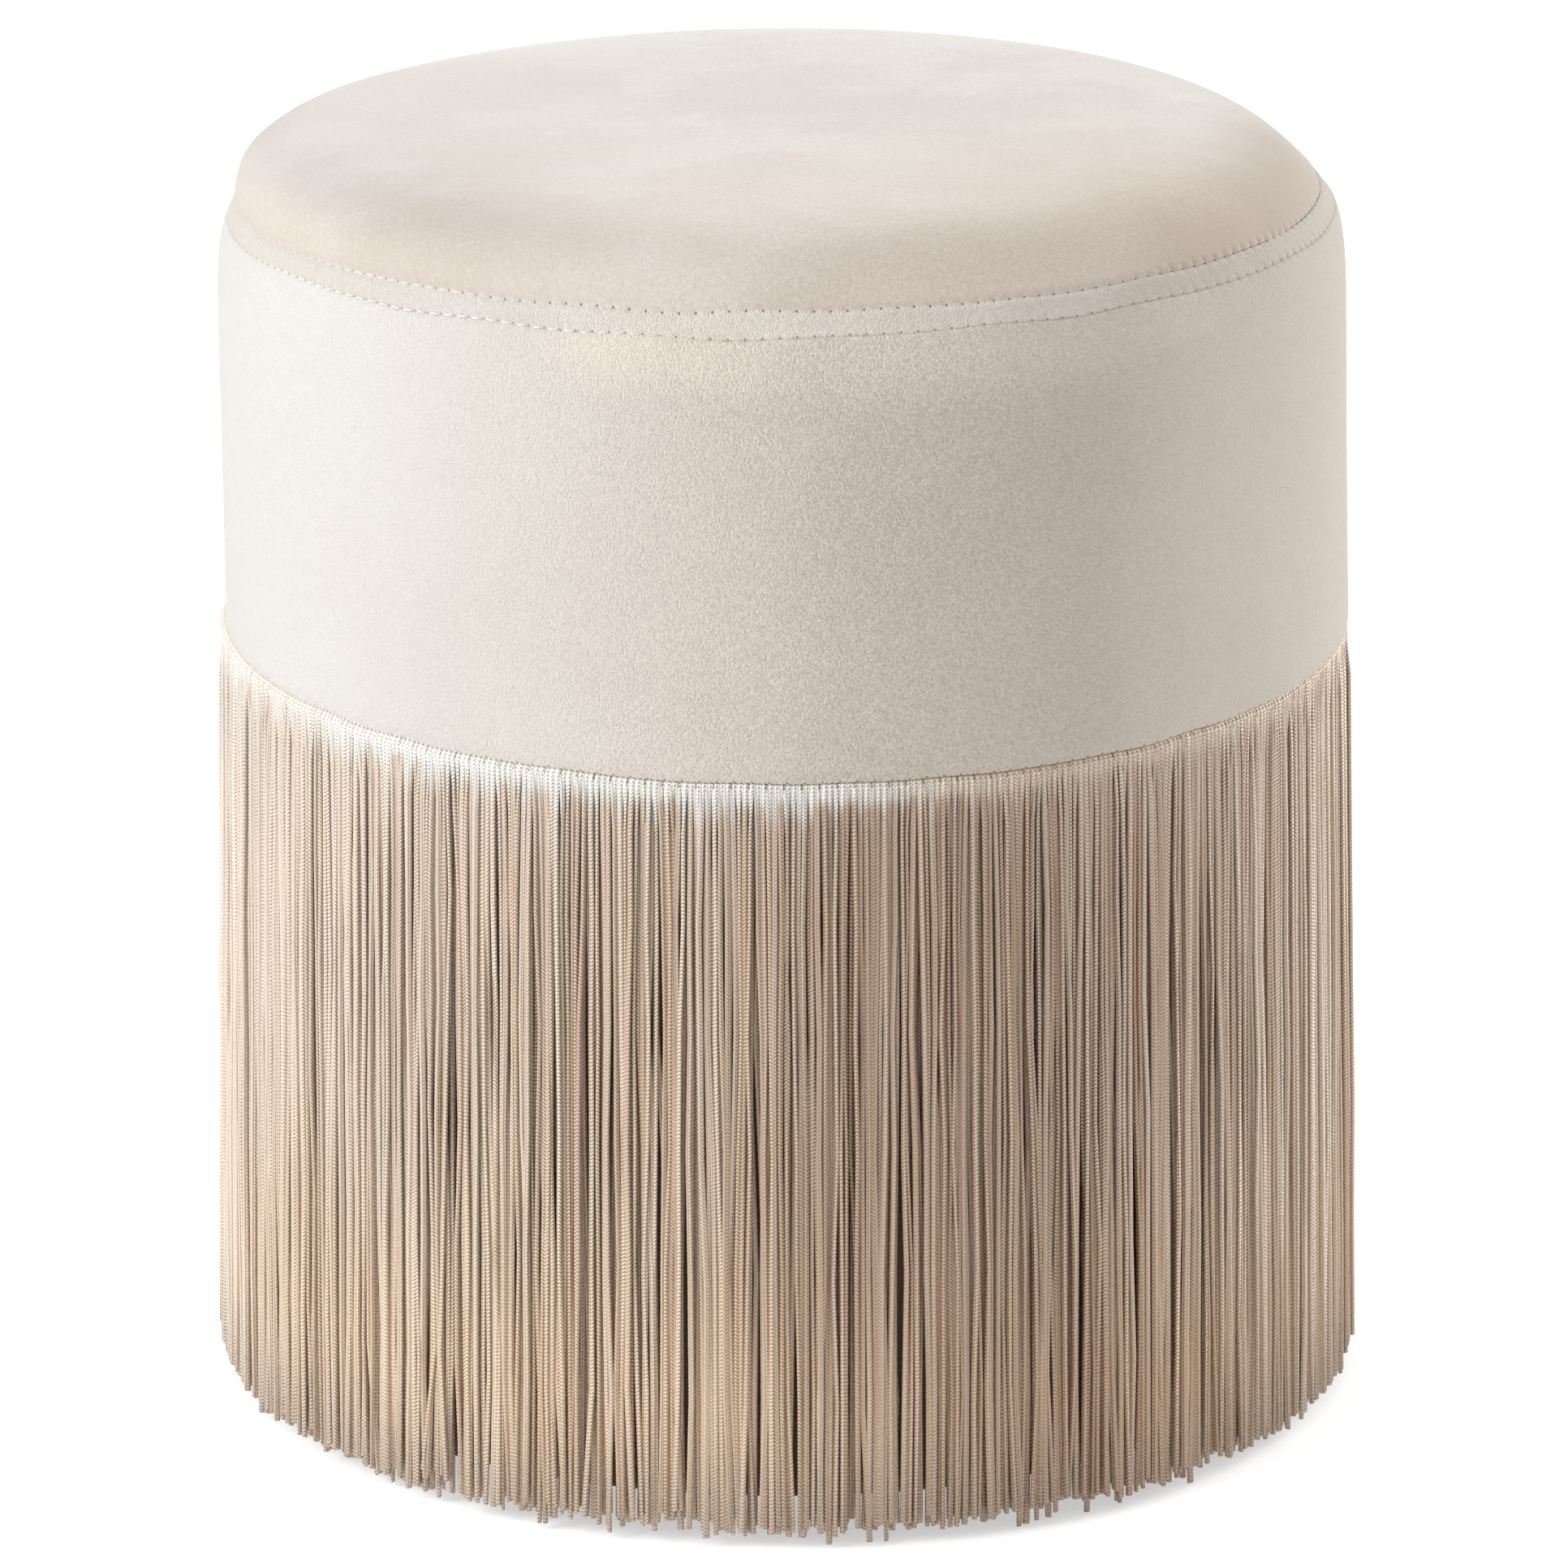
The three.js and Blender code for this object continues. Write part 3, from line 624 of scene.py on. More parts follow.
def make_seat_pad():
    """Seat foam: follows the inside of the covers at a small distance, down to a flat underside on the top board."""
    bottom, side_start, play = 0.3361, 0.3385, 0.0006
    low_run = (side_start - HEM_HEIGHT) / (SEAM_HEIGHT - HEM_HEIGHT)
    side, band, panel = np.linspace(low_run, 0.99, 12), np.linspace(1.02, 1.98, 5), np.linspace(2.03, 2.99, 30)
    outer = cover_surface(round_angles(PLAIN_ROUND), np.concatenate([side, band, panel]))
    skin = outer - (VELVET_THICKNESS + play) * section_frame(outer)[1]
    shrink = np.array([0.9985, 0.994, 0.97, 0.7, 0.35, 0.05])[:, None, None]
    under = skin[0] * np.array([1, 1, 0]) * shrink
    under[..., 2] = bottom + np.array([0.0012, 0.0004, 0.0, 0.0, 0.0, 0.0])[:, None]
    middles = np.array([[0, 0, bottom], skin[-1].mean(0)])
    return build_domed("seat_pad", np.concatenate([under[::-1], skin]), middles)


def make_side_wrap():
    """Side foam: a bent sheet of foam round the drum wall, thinner behind the fringe, with softened edges."""
    near, thin, thick, low, step, high = 0.1618, 0.1692, 0.1720, 0.0145, 0.2575, 0.3357
    corners = [(near, low), (thin, low), (thin, step), (thick, step + 0.003), (thick, high), (near, high)]
    section = spaced(rounded_section(corners, [0.0005, 0.002, 0.001, 0.001, 0.003, 0.001]), 0.012)

    def soft(angle, r, z):
        out = r > thin - 0.001
        return -0.0002 * out * (1 + waves(angle, 4, 12, 51)) * 0.5, 0 * r

    return turned_shell("side_wrap", section, PLAIN_ROUND, soft)


class Nodes:
    """A node tree with short calls. Sockets are filled from plain values or from other nodes' sockets."""

    def __init__(self, tree):
        self.tree = tree

    def fill(self, node, sockets):
        """Fills a node's sockets, given by name or number."""
        for key, value in sockets.items():
            if isinstance(value, bpy.types.NodeSocket):
                self.tree.links.new(value, node.inputs[key])
            else:
                node.inputs[key].default_value = value
        return node

    def add(self, kind, sockets=None, **settings):
        """A new node with its settings and sockets."""
        node = self.tree.nodes.new("ShaderNode" + kind)
        for key, value in settings.items():
            setattr(node, key, value)
        return self.fill(node, sockets or {})

    def use(self, group, sockets):
        """A node group placed with its own values. Gives its outputs."""
        return self.add("Group", sockets, node_tree=group).outputs

    def sum(self, kind, first, *others):
        """One kind of arithmetic on plain numbers, carried through them from the left."""
        if not others:
            return self.add("Math", {0: first}, operation=kind).outputs[0]
        for other in others:
            first = self.add("Math", {0: first, 1: other}, operation=kind).outputs[0]
        return first

    def times(self, *values):
        """The values multiplied."""
        return self.sum("MULTIPLY", *values)

    def plus(self, *values):
        """The values added."""
        return self.sum("ADD", *values)

    def less(self, *values):
        """The first value less the others."""
        return self.sum("SUBTRACT", *values)

    def most(self, *values):
        """The greatest of the values."""
        return self.sum("MAXIMUM", *values)

    def size(self, value):
        """The value without its sign."""
        return self.sum("ABSOLUTE", value)

    def scaled(self, value, factor, level):
        """The value times a factor, and a level added."""
        return self.add("Math", {0: value, 1: factor, 2: level}, operation="MULTIPLY_ADD").outputs[0]

    def blend(self, share, a, b, kind="MIX"):
        """Two colours mixed by a share from 0 to 1."""
        return self.add("Mix", {0: share, 6: a, 7: b}, data_type="RGBA", blend_type=kind).outputs[2]

    def layers(self, colour, rows):
        """Tones laid over a colour in turn, each by its share."""
        for share, shown in rows:
            colour = self.blend(share, colour, tone(*shown))
        return colour

    def span(self, value, low, high, to_low=0.0, to_high=1.0, kind="SMOOTHSTEP"):
        """A value brought from one range to another, held at the ends."""
        sockets = {"Value": value, "From Min": low, "From Max": high, "To Min": to_low, "To Max": to_high}
        return self.add("MapRange", sockets, interpolation_type=kind).outputs[0]

    def fade(self, value, low, high):
        """A share that goes from 1 back to 0 over a range of the value."""
        return self.span(value, low, high, 1.0, 0.0)

    def between(self, value, low, high, fall, end):
        """A share that rises from 0 to 1 from low to high, and goes back to 0 from fall to end."""
        return self.times(self.span(value, low, high), self.fade(value, fall, end))

    def noise(self, vector, scale, detail=2.0, roughness=0.5, distortion=0.0):
        """Cloudy noise from about 0 to 1."""
        return self.add("TexNoise", {"Vector": vector, "Scale": scale, "Detail": detail, "Roughness": roughness,
                                     "Distortion": distortion}).outputs[0]

    def stretched(self, vector, x, y, z):
        """The same coordinates, stretched by an amount on each axis."""
        return self.add("Mapping", {"Vector": vector, "Scale": (x, y, z)}).outputs[0]

    def parts(self, vector):
        """The x, y and z of a vector."""
        return self.add("SeparateXYZ", {0: vector}).outputs

    def place(self):
        """The piece's own coordinates, in metres."""
        return self.add("TexCoord").outputs["Object"]

    def map(self, name):
        """One of the piece's UV maps."""
        return self.add("UVMap", uv_map=name).outputs[0]

    def seen(self):
        """1 for what the camera sees straight, by gloss or through glass, else 0."""
        path = self.add("LightPath").outputs
        return self.most(path["Is Camera Ray"], path["Is Glossy Ray"], path["Is Transmission Ray"])


def effect(name, inputs, outputs):
    """A node group with named inputs and outputs, its nodes, its input sockets and its output node."""
    group = bpy.data.node_groups.new(name, "ShaderNodeTree")
    for key, kind, *value in inputs:
        socket = group.interface.new_socket(name=key, in_out="INPUT", socket_type="NodeSocket" + kind)
        if value:
            socket.default_value = value[0]
    for key, kind in outputs:
        group.interface.new_socket(name=key, in_out="OUTPUT", socket_type="NodeSocket" + kind)
    return group, Nodes(group), group.nodes.new("NodeGroupInput").outputs, group.nodes.new("NodeGroupOutput")


def nap_effect():
    """Velvet nap: tufts like fine grains, a coarser grain if asked, and patches where the pile leans elsewhere."""
    group, n, given, out = effect("nap", [("Vector", "Vector"), ("Place", "Vector"), ("Pile", "Color"),
                                          ("Leaning Pile", "Color"), ("Patches", "Float"), ("Fleck", "Float"),
                                          ("Coarse", "Float")],
                                  [("Color", "Color"), ("Height", "Float")])
    vector = given["Vector"]
    tufts = n.add("TexVoronoi", {"Vector": vector, "Scale": 1700.0}).outputs
    pile = n.noise(vector, 1300, 3.0, 0.65)
    cloud = n.noise(given["Place"], 13, 4.0, 0.55, 0.4)
    small = n.noise(given["Place"], 60, 3.0, 0.6, 0.5)
    patch = n.span(n.plus(n.times(cloud, 0.72), n.times(small, 0.28)), 0.40, 0.62)
    colour = n.blend(n.times(patch, given["Patches"]), given["Pile"], given["Leaning Pile"])
    mottle = n.plus(n.less(n.parts(tufts["Color"])[0], 0.5), n.times(n.less(pile, 0.5), 1.3))
    coarse = n.less(n.noise(vector, 560, 4.0, 0.75), 0.5)
    mottle = n.plus(mottle, n.times(coarse, given["Coarse"]))
    level = n.scaled(mottle, given["Fleck"], 1.0)
    grey = n.add("CombineColor", {0: level, 1: level, 2: level}).outputs[0]
    n.fill(out, {"Color": n.blend(1.0, colour, grey, "MULTIPLY"),
                 "Height": n.less(pile, n.times(tufts["Distance"], 0.5))})
    return group


def needle_effect():
    """Needle holes along a row: a round mask at every stitch's end, and a shallow pucker beside it."""
    group, n, given, out = effect("needle_row", [("Vector", "Vector"), ("Row", "Float"), ("Width", "Float")],
                                  [("Hole", "Float"), ("Pucker", "Float")])
    turn, height, _ = n.parts(given["Vector"])
    x = n.times(n.less(n.sum("FRACT", n.plus(turn, 0.5)), 0.5), STITCH_PITCH_MM)
    y = n.less(height, given["Row"])
    away = n.sum("SQRT", n.plus(n.times(x, x), n.times(y, y)))
    n.fill(out, {"Hole": n.fade(away, n.times(given["Width"], 0.35), given["Width"]),
                 "Pucker": n.times(n.fade(n.size(y), 0.0, 3.2), n.fade(n.size(x), 0.0, 2.0))})
    return group


def chain_effect():
    """Chainette grain: rows of small slanted stitches that meet in a V, from the cord's own map."""
    group, n, given, out = effect("chain_grain", [("Vector", "Vector"), ("Grain", "Float", GRAIN_LENGTH)],
                                  [("Height", "Float"), ("Gap", "Float")])
    turn, along, _ = n.parts(given["Vector"])
    side = n.times(n.size(n.less(n.sum("FRACT", n.times(turn, 2.0)), 0.5)), 2.0)
    run = n.plus(n.sum("DIVIDE", along, given["Grain"]), n.times(side, 0.7))
    slope = n.less(n.times(n.sum("FRACT", run), 2.0), 1.0)
    bead = n.less(1.0, n.times(slope, slope))
    height = n.times(bead, n.span(side, 0.0, 0.3, 0.35, 1.0))
    # Gap marks the dips between stitches, which the cord finish paints as shade.
    n.fill(out, {"Height": height, "Gap": n.fade(height, 0.0, 0.45)})
    return group


def weave_effect():
    """Plain weave: two crossed waves from a map in metres, with the threads a little uneven."""
    group, n, given, out = effect("weave", [("Vector", "Vector"), ("Threads", "Float")],
                                  [("Height", "Float"), ("Slub", "Float")])
    x, y, _ = n.parts(given["Vector"])
    wobble = n.times(n.noise(given["Vector"], 90, 2.0), 1.2)
    pace = n.times(given["Threads"], math.pi)
    warp, weft = (n.sum("SINE", n.plus(n.times(part, pace), wobble)) for part in (x, y))
    n.fill(out, {"Height": n.scaled(n.times(warp, weft), 0.5, 0.5),
                 "Slub": n.noise(n.stretched(given["Vector"], 30, 260, 1), 3, 3.0)})
    return group


def grain_effect():
    """Wood grain: long streaks and growth lines along one axis of the coordinates given."""
    group, n, given, out = effect("wood_grain", [("Vector", "Vector"), ("Light", "Color"), ("Dark", "Color")],
                                  [("Color", "Color"), ("Height", "Float")])
    lines = n.add("TexWave", {"Vector": given["Vector"], "Scale": 9.0, "Distortion": 5.0, "Detail": 3.0,
                              "Detail Scale": 1.4, "Detail Roughness": 0.6},
                  wave_type="BANDS", bands_direction="X").outputs[1]
    fibre = n.noise(n.stretched(given["Vector"], 30, 1.5, 30), 14, 4.0, 0.65)
    share = n.span(n.plus(n.times(lines, 0.6), n.times(fibre, 0.4)), 0.15, 0.85)
    n.fill(out, {"Color": n.blend(share, given["Light"], given["Dark"]), "Height": fibre})
    return group


def new_finish(name, settings=None):
    """A material with only a Principled shader and its output, and its nodes. settings go on the shader's sockets."""
    material = bpy.data.materials.new(name)
    material.use_nodes = True
    n = Nodes(material.node_tree)
    n.fill(n.tree.nodes["Principled BSDF"], settings or {})
    return material, n


def finish_surface(n, colour, height, depth, roughness=None):
    """Joins a colour, a height through Bump and a roughness, if there is one, to the shader."""
    bump = n.add("Bump", {"Height": height, "Distance": depth, "Strength": 1.0}).outputs[0]
    sockets = {"Base Color": colour, "Normal": bump}
    if roughness is not None:
        sockets["Roughness"] = roughness
    n.fill(n.tree.nodes["Principled BSDF"], sockets)


def velvet_finish(name, nap, needle, rows, patches, seat):
    """Cream velvet with a soft sheen, as two tones: the pile, and the pile where it leans another way.

    On the seat light and shade are painted into the tones by place: lighter behind as a painted sheen, warmer near
    the front edge as painted shade, more painted shade to the right and at the left by the row, and painted light
    near the row at the front. The band below the topstitching takes the wall's tones, with painted light ahead and
    painted shade at its far left. The wall has painted light towards the left, near the seam and in two places lower
    down. The needle holes and the notches at the hem are painted dark, as painted shade."""
    material, n = new_finish(name, {"Roughness": 0.85, "Specular IOR Level": 0.2, "Sheen Weight": 0.45,
                                    "Sheen Roughness": 0.45, "Sheen Tint": (1.0, 0.98, 0.95, 1.0)})
    cloth, stitch, place = n.map("cloth"), n.map("stitch"), n.place()
    x, y, _ = n.parts(place)
    turn, from_seam, _ = n.parts(stitch)
    # The left, where the key lamp falls, is painted lighter and whiter: painted light. The fleck is made strongest in
    # the middle of the front, painted for the grazing light that picks out the pile there.
    painted_light_left = n.fade(x, -0.172, 0.050)
    middle = n.fade(n.size(n.less(x, 0.030)), 0.0, 0.140)
    tones = [n.blend(painted_light_left, tone(222, 210, 197), tone(227, 222, 217)),
             n.blend(painted_light_left, tone(215, 202, 190), tone(223, 216, 210))]
    fleck, coarse, relief = 0.22, 0.0, 0.60
    if seat:
        # The seat panel's tones by place are painted light and shade: a painted sheen behind, painted shade at the
        # front edge, to the right and at the left by the row, and painted light by the row at the front.
        cloud = n.plus(n.noise(place, 9, 3.0, 0.5), n.times(n.less(n.noise(place, 38, 5.0, 0.65), 0.5), 0.9))
        share = n.span(n.plus(n.times(n.plus(y, 0.055), 9.0), n.times(n.less(cloud, 0.5), 1.6)), -0.9, 0.8)
        leftward = n.span(x, -0.02, -0.12)
        shaded = n.times(n.span(x, -0.06, 0.15), n.span(y, 0.04, -0.10), 0.8)
        edge = n.span(from_seam, 34.0, 9.0)
        lit = n.times(edge, n.between(x, 0.000, 0.040, 0.090, 0.120))
        dim = n.times(n.span(x, 0.125, 0.152), n.span(y, 0.055, -0.015, 0.0, 0.75))
        painted_shade_by_row_left = n.times(edge, n.span(x, -0.125, -0.148))
        band = n.span(from_seam, ROW_GAP_MM - 0.4, ROW_GAP_MM + 0.8)
        # On the band, painted light ahead, and painted shade at the far left.
        ahead = n.times(n.span(y, -0.05, -0.12), n.span(x, 0.085, 0.130, 0.6, 0.0), n.span(x, -0.085, -0.035))
        leftmost = n.span(x, -0.090, -0.125, 0.0, 0.7)
        table = (((222, 209, 197), (202, 190, 178), (212, 203, 196), (218, 207, 199),
                  (202, 183, 165), (247, 237, 225)),
                 ((227, 217, 207), (208, 196, 185), (220, 214, 207), (222, 214, 209),
                  (209, 191, 175), (241, 230, 217)))
        for k, (front, front_left, back, back_left, in_shade, painted_light_ahead) in enumerate(table):
            panel = n.blend(share, n.blend(leftward, tone(*front), tone(*front_left)),
                            n.blend(leftward, tone(*back), tone(*back_left)))
            panel = n.layers(panel, ((shaded, in_shade), (lit, (229, 214, 201)), (dim, (190, 173, 157)),
                                     (painted_shade_by_row_left, (207, 196, 184))))
            strip = n.layers(tones[k], ((leftmost, (217, 207, 197)), (ahead, painted_light_ahead)))
            tones[k] = n.blend(band, strip, panel)
        fleck, coarse, relief = 0.025, 6.0, n.scaled(band, -0.40, 0.60)
    else:
        # Painted light: the wall is painted lighter near the seam and in two places lower down.
        near_seam = n.times(n.span(from_seam, -28.0, -5.0), n.between(x, -0.085, -0.050, 0.115, 0.145),
                            n.less(1.0, n.times(n.between(x, -0.012, 0.006, 0.010, 0.030), 0.5)))
        left = n.times(n.between(x, -0.110, -0.060, -0.010, 0.020), 0.30)
        right = n.times(n.between(x, 0.088, 0.112, 0.122, 0.150), 0.45)
        lit = n.most(near_seam, left, right)
        tones = [n.blend(lit, tones[0], tone(238, 226, 213)), n.blend(lit, tones[1], tone(231, 218, 206))]
    shown = n.use(nap, {"Vector": cloth, "Place": place, "Pile": tones[0], "Leaning Pile": tones[1],
                        "Patches": patches, "Fleck": n.scaled(middle, fleck, 0.055), "Coarse": coarse})
    colour, height = shown["Color"], n.times(shown["Height"], relief)
    # Painted shade in the needle holes, fainter at the left where the light falls.
    faint = n.span(x, -0.140, -0.020, 0.25, 0.70)
    ripple = n.span(x, 0.020, 0.120, 0.15, 0.40)
    for row in rows:
        mark = n.use(needle, {"Vector": stitch, "Row": row, "Width": 0.44})
        hole = n.times(mark["Hole"], faint)
        colour = n.blend(hole, colour, tone(126, 98, 76))
        height = n.less(height, hole, n.times(mark["Pucker"], ripple))
    if not seat:
        # Painted shade: a dark notch at each stitch along the hem.
        at_hem = n.add("CombineXYZ", {0: turn, 1: n.times(n.parts(cloth)[1], 1000.0)}).outputs[0]
        mark = n.use(needle, {"Vector": at_hem, "Row": 0.05, "Width": 0.50})
        colour = n.blend(n.times(mark["Hole"], faint), colour, tone(112, 84, 62))
    finish_surface(n, colour, height, 0.0008)
    return material


def cord_finish(chain):
    """Champagne chainette cord: silky, each cord a little lighter or darker, with painted shade in the gaps between
    its stitches.

    Tones are laid over one another by the length from the top of the cord and by the place across the front, and
    most of them are painted light and shade. deep is the share of the painted shade: in the gaps of the grain, on
    sides turned away, and in layers behind."""
    material, n = new_finish("fringe_cord", {"Roughness": 0.42, "Specular IOR Level": 1.0, "IOR": 1.9,
                                             "Sheen Weight": 0.25, "Sheen Roughness": 0.4})
    uv, place = n.map("cord"), n.place()
    shade, layer, outward = (n.add("Attribute", attribute_name=key).outputs["Fac"]
                             for key in ("shade", "layer", "outward"))
    grain = n.use(chain, {"Vector": uv})
    along = n.parts(uv)[1]
    x, y, _ = n.parts(place)
    mix = n.plus(shade, n.times(n.less(n.noise(place, 9, 2.0), 0.5), 0.5))
    colour = n.blend(n.span(mix, 0.0, 1.0, kind="LINEAR"), tone(207, 160, 113), tone(252, 228, 197))
    # Painted light and shade by place: lighter at the left and at the right edge, a painted highlight just under the
    # hem, lighter and warmer lower down and a glow low at the left as painted light, and painted shade in a lower
    # corner, in a patch at the left, in the middle and near the top at the right, and greyer at the far left edge.
    painted_light_left = n.fade(x, -0.178, 0.000)
    right = n.span(x, 0.115, 0.170)
    off_side = n.span(n.size(x), 0.120, 0.165, 1.0, 0.10)
    painted_highlight_below_hem = n.times(n.span(along, 0.009, 0.045, 0.30, 0.0), off_side)
    warmer = n.times(n.span(along, 0.080, 0.210), n.scaled(painted_light_left, -0.30, 0.65))
    corner = n.times(n.span(along, 0.130, 0.225), n.span(x, -0.010, 0.100), 0.75)
    painted_shade_left_patch = n.times(n.span(along, 0.100, 0.180), n.between(x, -0.168, -0.156, -0.140, -0.120), 0.45)
    painted_shade_middle = n.times(n.between(x, -0.035, 0.030, 0.070, 0.115), 0.52)
    painted_shade_top_right = n.times(n.span(along, 0.015, 0.027, 0.6, 0.0), n.span(x, 0.105, 0.150))
    painted_shade_far_left = n.times(n.between(along, 0.008, 0.013, 0.028, 0.060), n.span(x, -0.145, -0.166, 0.0, 0.5))
    glow = n.times(n.span(along, 0.150, 0.215), n.span(x, 0.020, 0.090, 0.35, 0.0), n.span(x, -0.172, -0.150))
    colour = n.layers(colour, ((n.times(painted_light_left, 0.75), (249, 228, 207)), (painted_highlight_below_hem, (254, 240, 224)),
                               (warmer, (253, 218, 178)), (corner, (205, 154, 102)), (painted_shade_left_patch, (214, 178, 138)),
                               (n.times(right, 0.35), (253, 230, 200)), (painted_shade_middle, (190, 146, 104)),
                               (painted_shade_top_right, (208, 174, 142)), (painted_shade_far_left, (220, 208, 195)), (glow, (255, 220, 184))))
    # Painted highlight: the cords are painted near white just under the hem, where they bend out towards the light,
    # less at the far edges.
    white = n.fade(along, n.scaled(shade, 0.006, 0.0070), n.scaled(shade, 0.011, 0.0106))
    white = n.times(white, n.most(off_side, n.span(x, -0.040, -0.120, 0.0, 0.5)))
    colour = n.blend(white, colour, n.blend(n.span(x, 0.010, 0.070), tone(255, 249, 240), tone(237, 212, 184)))
    # deep, the share of the painted shade, is less at the left, at the right edge, lower down and just under the hem.
    deep = n.times(n.scaled(painted_light_left, -0.88, 1.0), n.scaled(right, -0.5, 1.0),
                   n.scaled(n.span(along, 0.130, 0.235), -0.85, 1.0),
                   n.scaled(n.fade(along, 0.0075, 0.0125), -0.9, 1.0))
    # Painted shadow under the hem's edge: a thin dark line, and a dark notch at each stitch.
    from_stitch = n.size(n.less(n.sum("FRACT", n.times(n.sum("ARCTAN2", y, x), STITCHES / (2 * math.pi))), 0.5))
    painted_notch_shadow = n.times(n.fade(from_stitch, 0.04, 0.09), n.fade(along, 0.0057, 0.0066), 0.85)
    line = n.times(n.most(n.span(along, 0.0042, 0.0048, 0.8, 0.0), painted_notch_shadow), n.span(x, -0.160, -0.020, 0.35, 1.0))
    # Painted shade: in the gaps of the grain, on sides turned away from the outside, and on the layers behind.
    colour = n.layers(colour, ((n.times(grain["Gap"], deep, 0.80), (142, 94, 56)),
                               (n.times(n.fade(outward, 0.10, 0.85), deep, 0.78), (132, 86, 48)),
                               (n.times(layer, deep, 0.45), (138, 94, 58)), (line, (140, 106, 80))))
    finish_surface(n, colour, grain["Height"], 0.0005)
    return material


def thread_finish():
    """Pale sewing thread with a fine twist."""
    material, n = new_finish("thread", {"Roughness": 0.42})
    ply = n.noise(n.place(), 4200, 1.0)
    finish_surface(n, n.blend(ply, tone(236, 226, 214), tone(254, 250, 244)), ply, 0.0001)
    return material


def lining_finish(weave):
    """Plain woven brown cloth."""
    material, n = new_finish("lining_cloth", {"Roughness": 0.9, "Sheen Weight": 0.1})
    cloth = n.use(weave, {"Vector": n.map("cloth"), "Threads": 1300.0})
    share = n.plus(n.times(cloth["Height"], 0.6), n.times(cloth["Slub"], 0.4))
    finish_surface(n, n.blend(share, tone(120, 96, 74), tone(176, 150, 122)), cloth["Height"], 0.0002)
    return material


def nonwoven_finish():
    """Black nonwoven cloth: random fibres and small pressed dots in a square pattern."""
    material, n = new_finish("black_cloth", {"Specular IOR Level": 0.3})
    place = n.place()
    x, y, _ = n.parts(place)
    fibre = n.noise(place, 900, 4.0, 0.7, 1.5)
    dots = n.times(n.sum("SINE", n.times(x, 3600.0)), n.sum("SINE", n.times(y, 3600.0)))
    finish_surface(n, n.blend(fibre, tone(28, 28, 30), tone(62, 62, 64)), n.less(fibre, n.span(dots, 0.55, 0.85)),
                   0.0002, n.span(fibre, 0.2, 0.8, 0.95, 0.75))
    return material


def foam_finish():
    """Pale yellow cut foam with open pores, darker where it has aged."""
    material, n = new_finish("foam", {"Roughness": 0.95})
    place = n.place()
    cells = n.add("TexVoronoi", {"Vector": place, "Scale": 900.0}).outputs["Distance"]
    colour = n.blend(n.span(cells, 0.1, 0.6), tone(214, 196, 140), tone(244, 234, 196))
    colour = n.blend(n.times(n.noise(place, 14, 3.0), 0.3), colour, tone(226, 206, 150))
    finish_surface(n, colour, cells, 0.0004)
    return material


def plywood_finish(grain):
    """Raw plywood: grain on the faces, and plies that show as pale and dark layers on the edge."""
    material, n = new_finish("plywood")
    place = n.place()
    face = n.use(grain, {"Vector": place, "Light": tone(226, 200, 158), "Dark": tone(196, 160, 112)})
    ply = n.span(n.sum("SINE", n.times(n.parts(place)[2], 2 * math.pi / PLY_PAIR)), -0.15, 0.15)
    edge_grain = n.noise(n.stretched(place, 1, 1, 12), 220, 3.0)
    edge = n.blend(ply, tone(170, 130, 88), tone(222, 194, 150))
    edge = n.blend(n.times(edge_grain, 0.35), edge, tone(140, 104, 70))
    upright = n.size(n.parts(n.add("NewGeometry").outputs["Normal"])[2])
    colour = n.blend(n.span(upright, 0.4, 0.6), edge, face["Color"])
    finish_surface(n, colour, face["Height"], 0.0002, n.span(edge_grain, 0.2, 0.8, 0.62, 0.8))
    return material


def pine_finish(grain):
    """Planed pine, with its grain along the post."""
    material, n = new_finish("softwood")
    turned = n.add("Mapping", {"Vector": n.place(), "Rotation": (math.pi / 2, 0, 0), "Scale": (3, 0.4, 3)}).outputs[0]
    wood = n.use(grain, {"Vector": turned, "Light": tone(232, 208, 166), "Dark": tone(204, 160, 104)})
    finish_surface(n, wood["Color"], wood["Height"], 0.0002, n.span(wood["Height"], 0.2, 0.8, 0.55, 0.72))
    return material


def hardboard_finish():
    """Brown hardboard: pressed fibres, smooth and a little waxy."""
    material, n = new_finish("hardboard")
    place = n.place()
    fibre = n.noise(place, 420, 5.0, 0.7, 1.2)
    colour = n.blend(fibre, tone(104, 74, 50), tone(156, 118, 82))
    colour = n.blend(n.times(n.noise(place, 25, 3.0), 0.4), colour, tone(126, 92, 62))
    finish_surface(n, colour, fibre, 0.0001, n.span(fibre, 0.2, 0.8, 0.45, 0.65))
    return material


def plastic_finish():
    """Black moulded plastic with a fine spark texture, scuffed where it stands on the floor."""
    material, n = new_finish("black_plastic")
    place = n.place()
    spark = n.noise(place, 1600, 3.0, 0.6)
    scuff = n.times(n.fade(n.parts(place)[2], 0.0, 0.0015), n.span(n.noise(place, 260, 4.0), 0.45, 0.65))
    finish_surface(n, n.blend(scuff, tone(30, 30, 32), tone(92, 90, 88)), spark, 0.00008,
                   n.span(spark, 0.3, 0.7, 0.38, 0.52))
    return material


def zinc_finish():
    """Bright zinc plating: faint rainbow-grey patches and fine scratches."""
    material, n = new_finish("zinc_steel", {"Metallic": 1.0})
    place = n.place()
    scratch = n.noise(n.stretched(place, 1, 14, 1), 700, 2.0)
    colour = n.blend(n.noise(place, 130, 3.0), tone(196, 200, 206), tone(226, 224, 214))
    finish_surface(n, colour, scratch, 0.00003, n.span(scratch, 0.3, 0.7, 0.24, 0.42))
    return material


def place_finish(piece, material):
    """Gives a piece or a CAD node one material in every slot."""
    if not piece.data.materials:
        piece.data.materials.append(material)
    for k in range(len(piece.data.materials)):
        piece.data.materials[k] = material


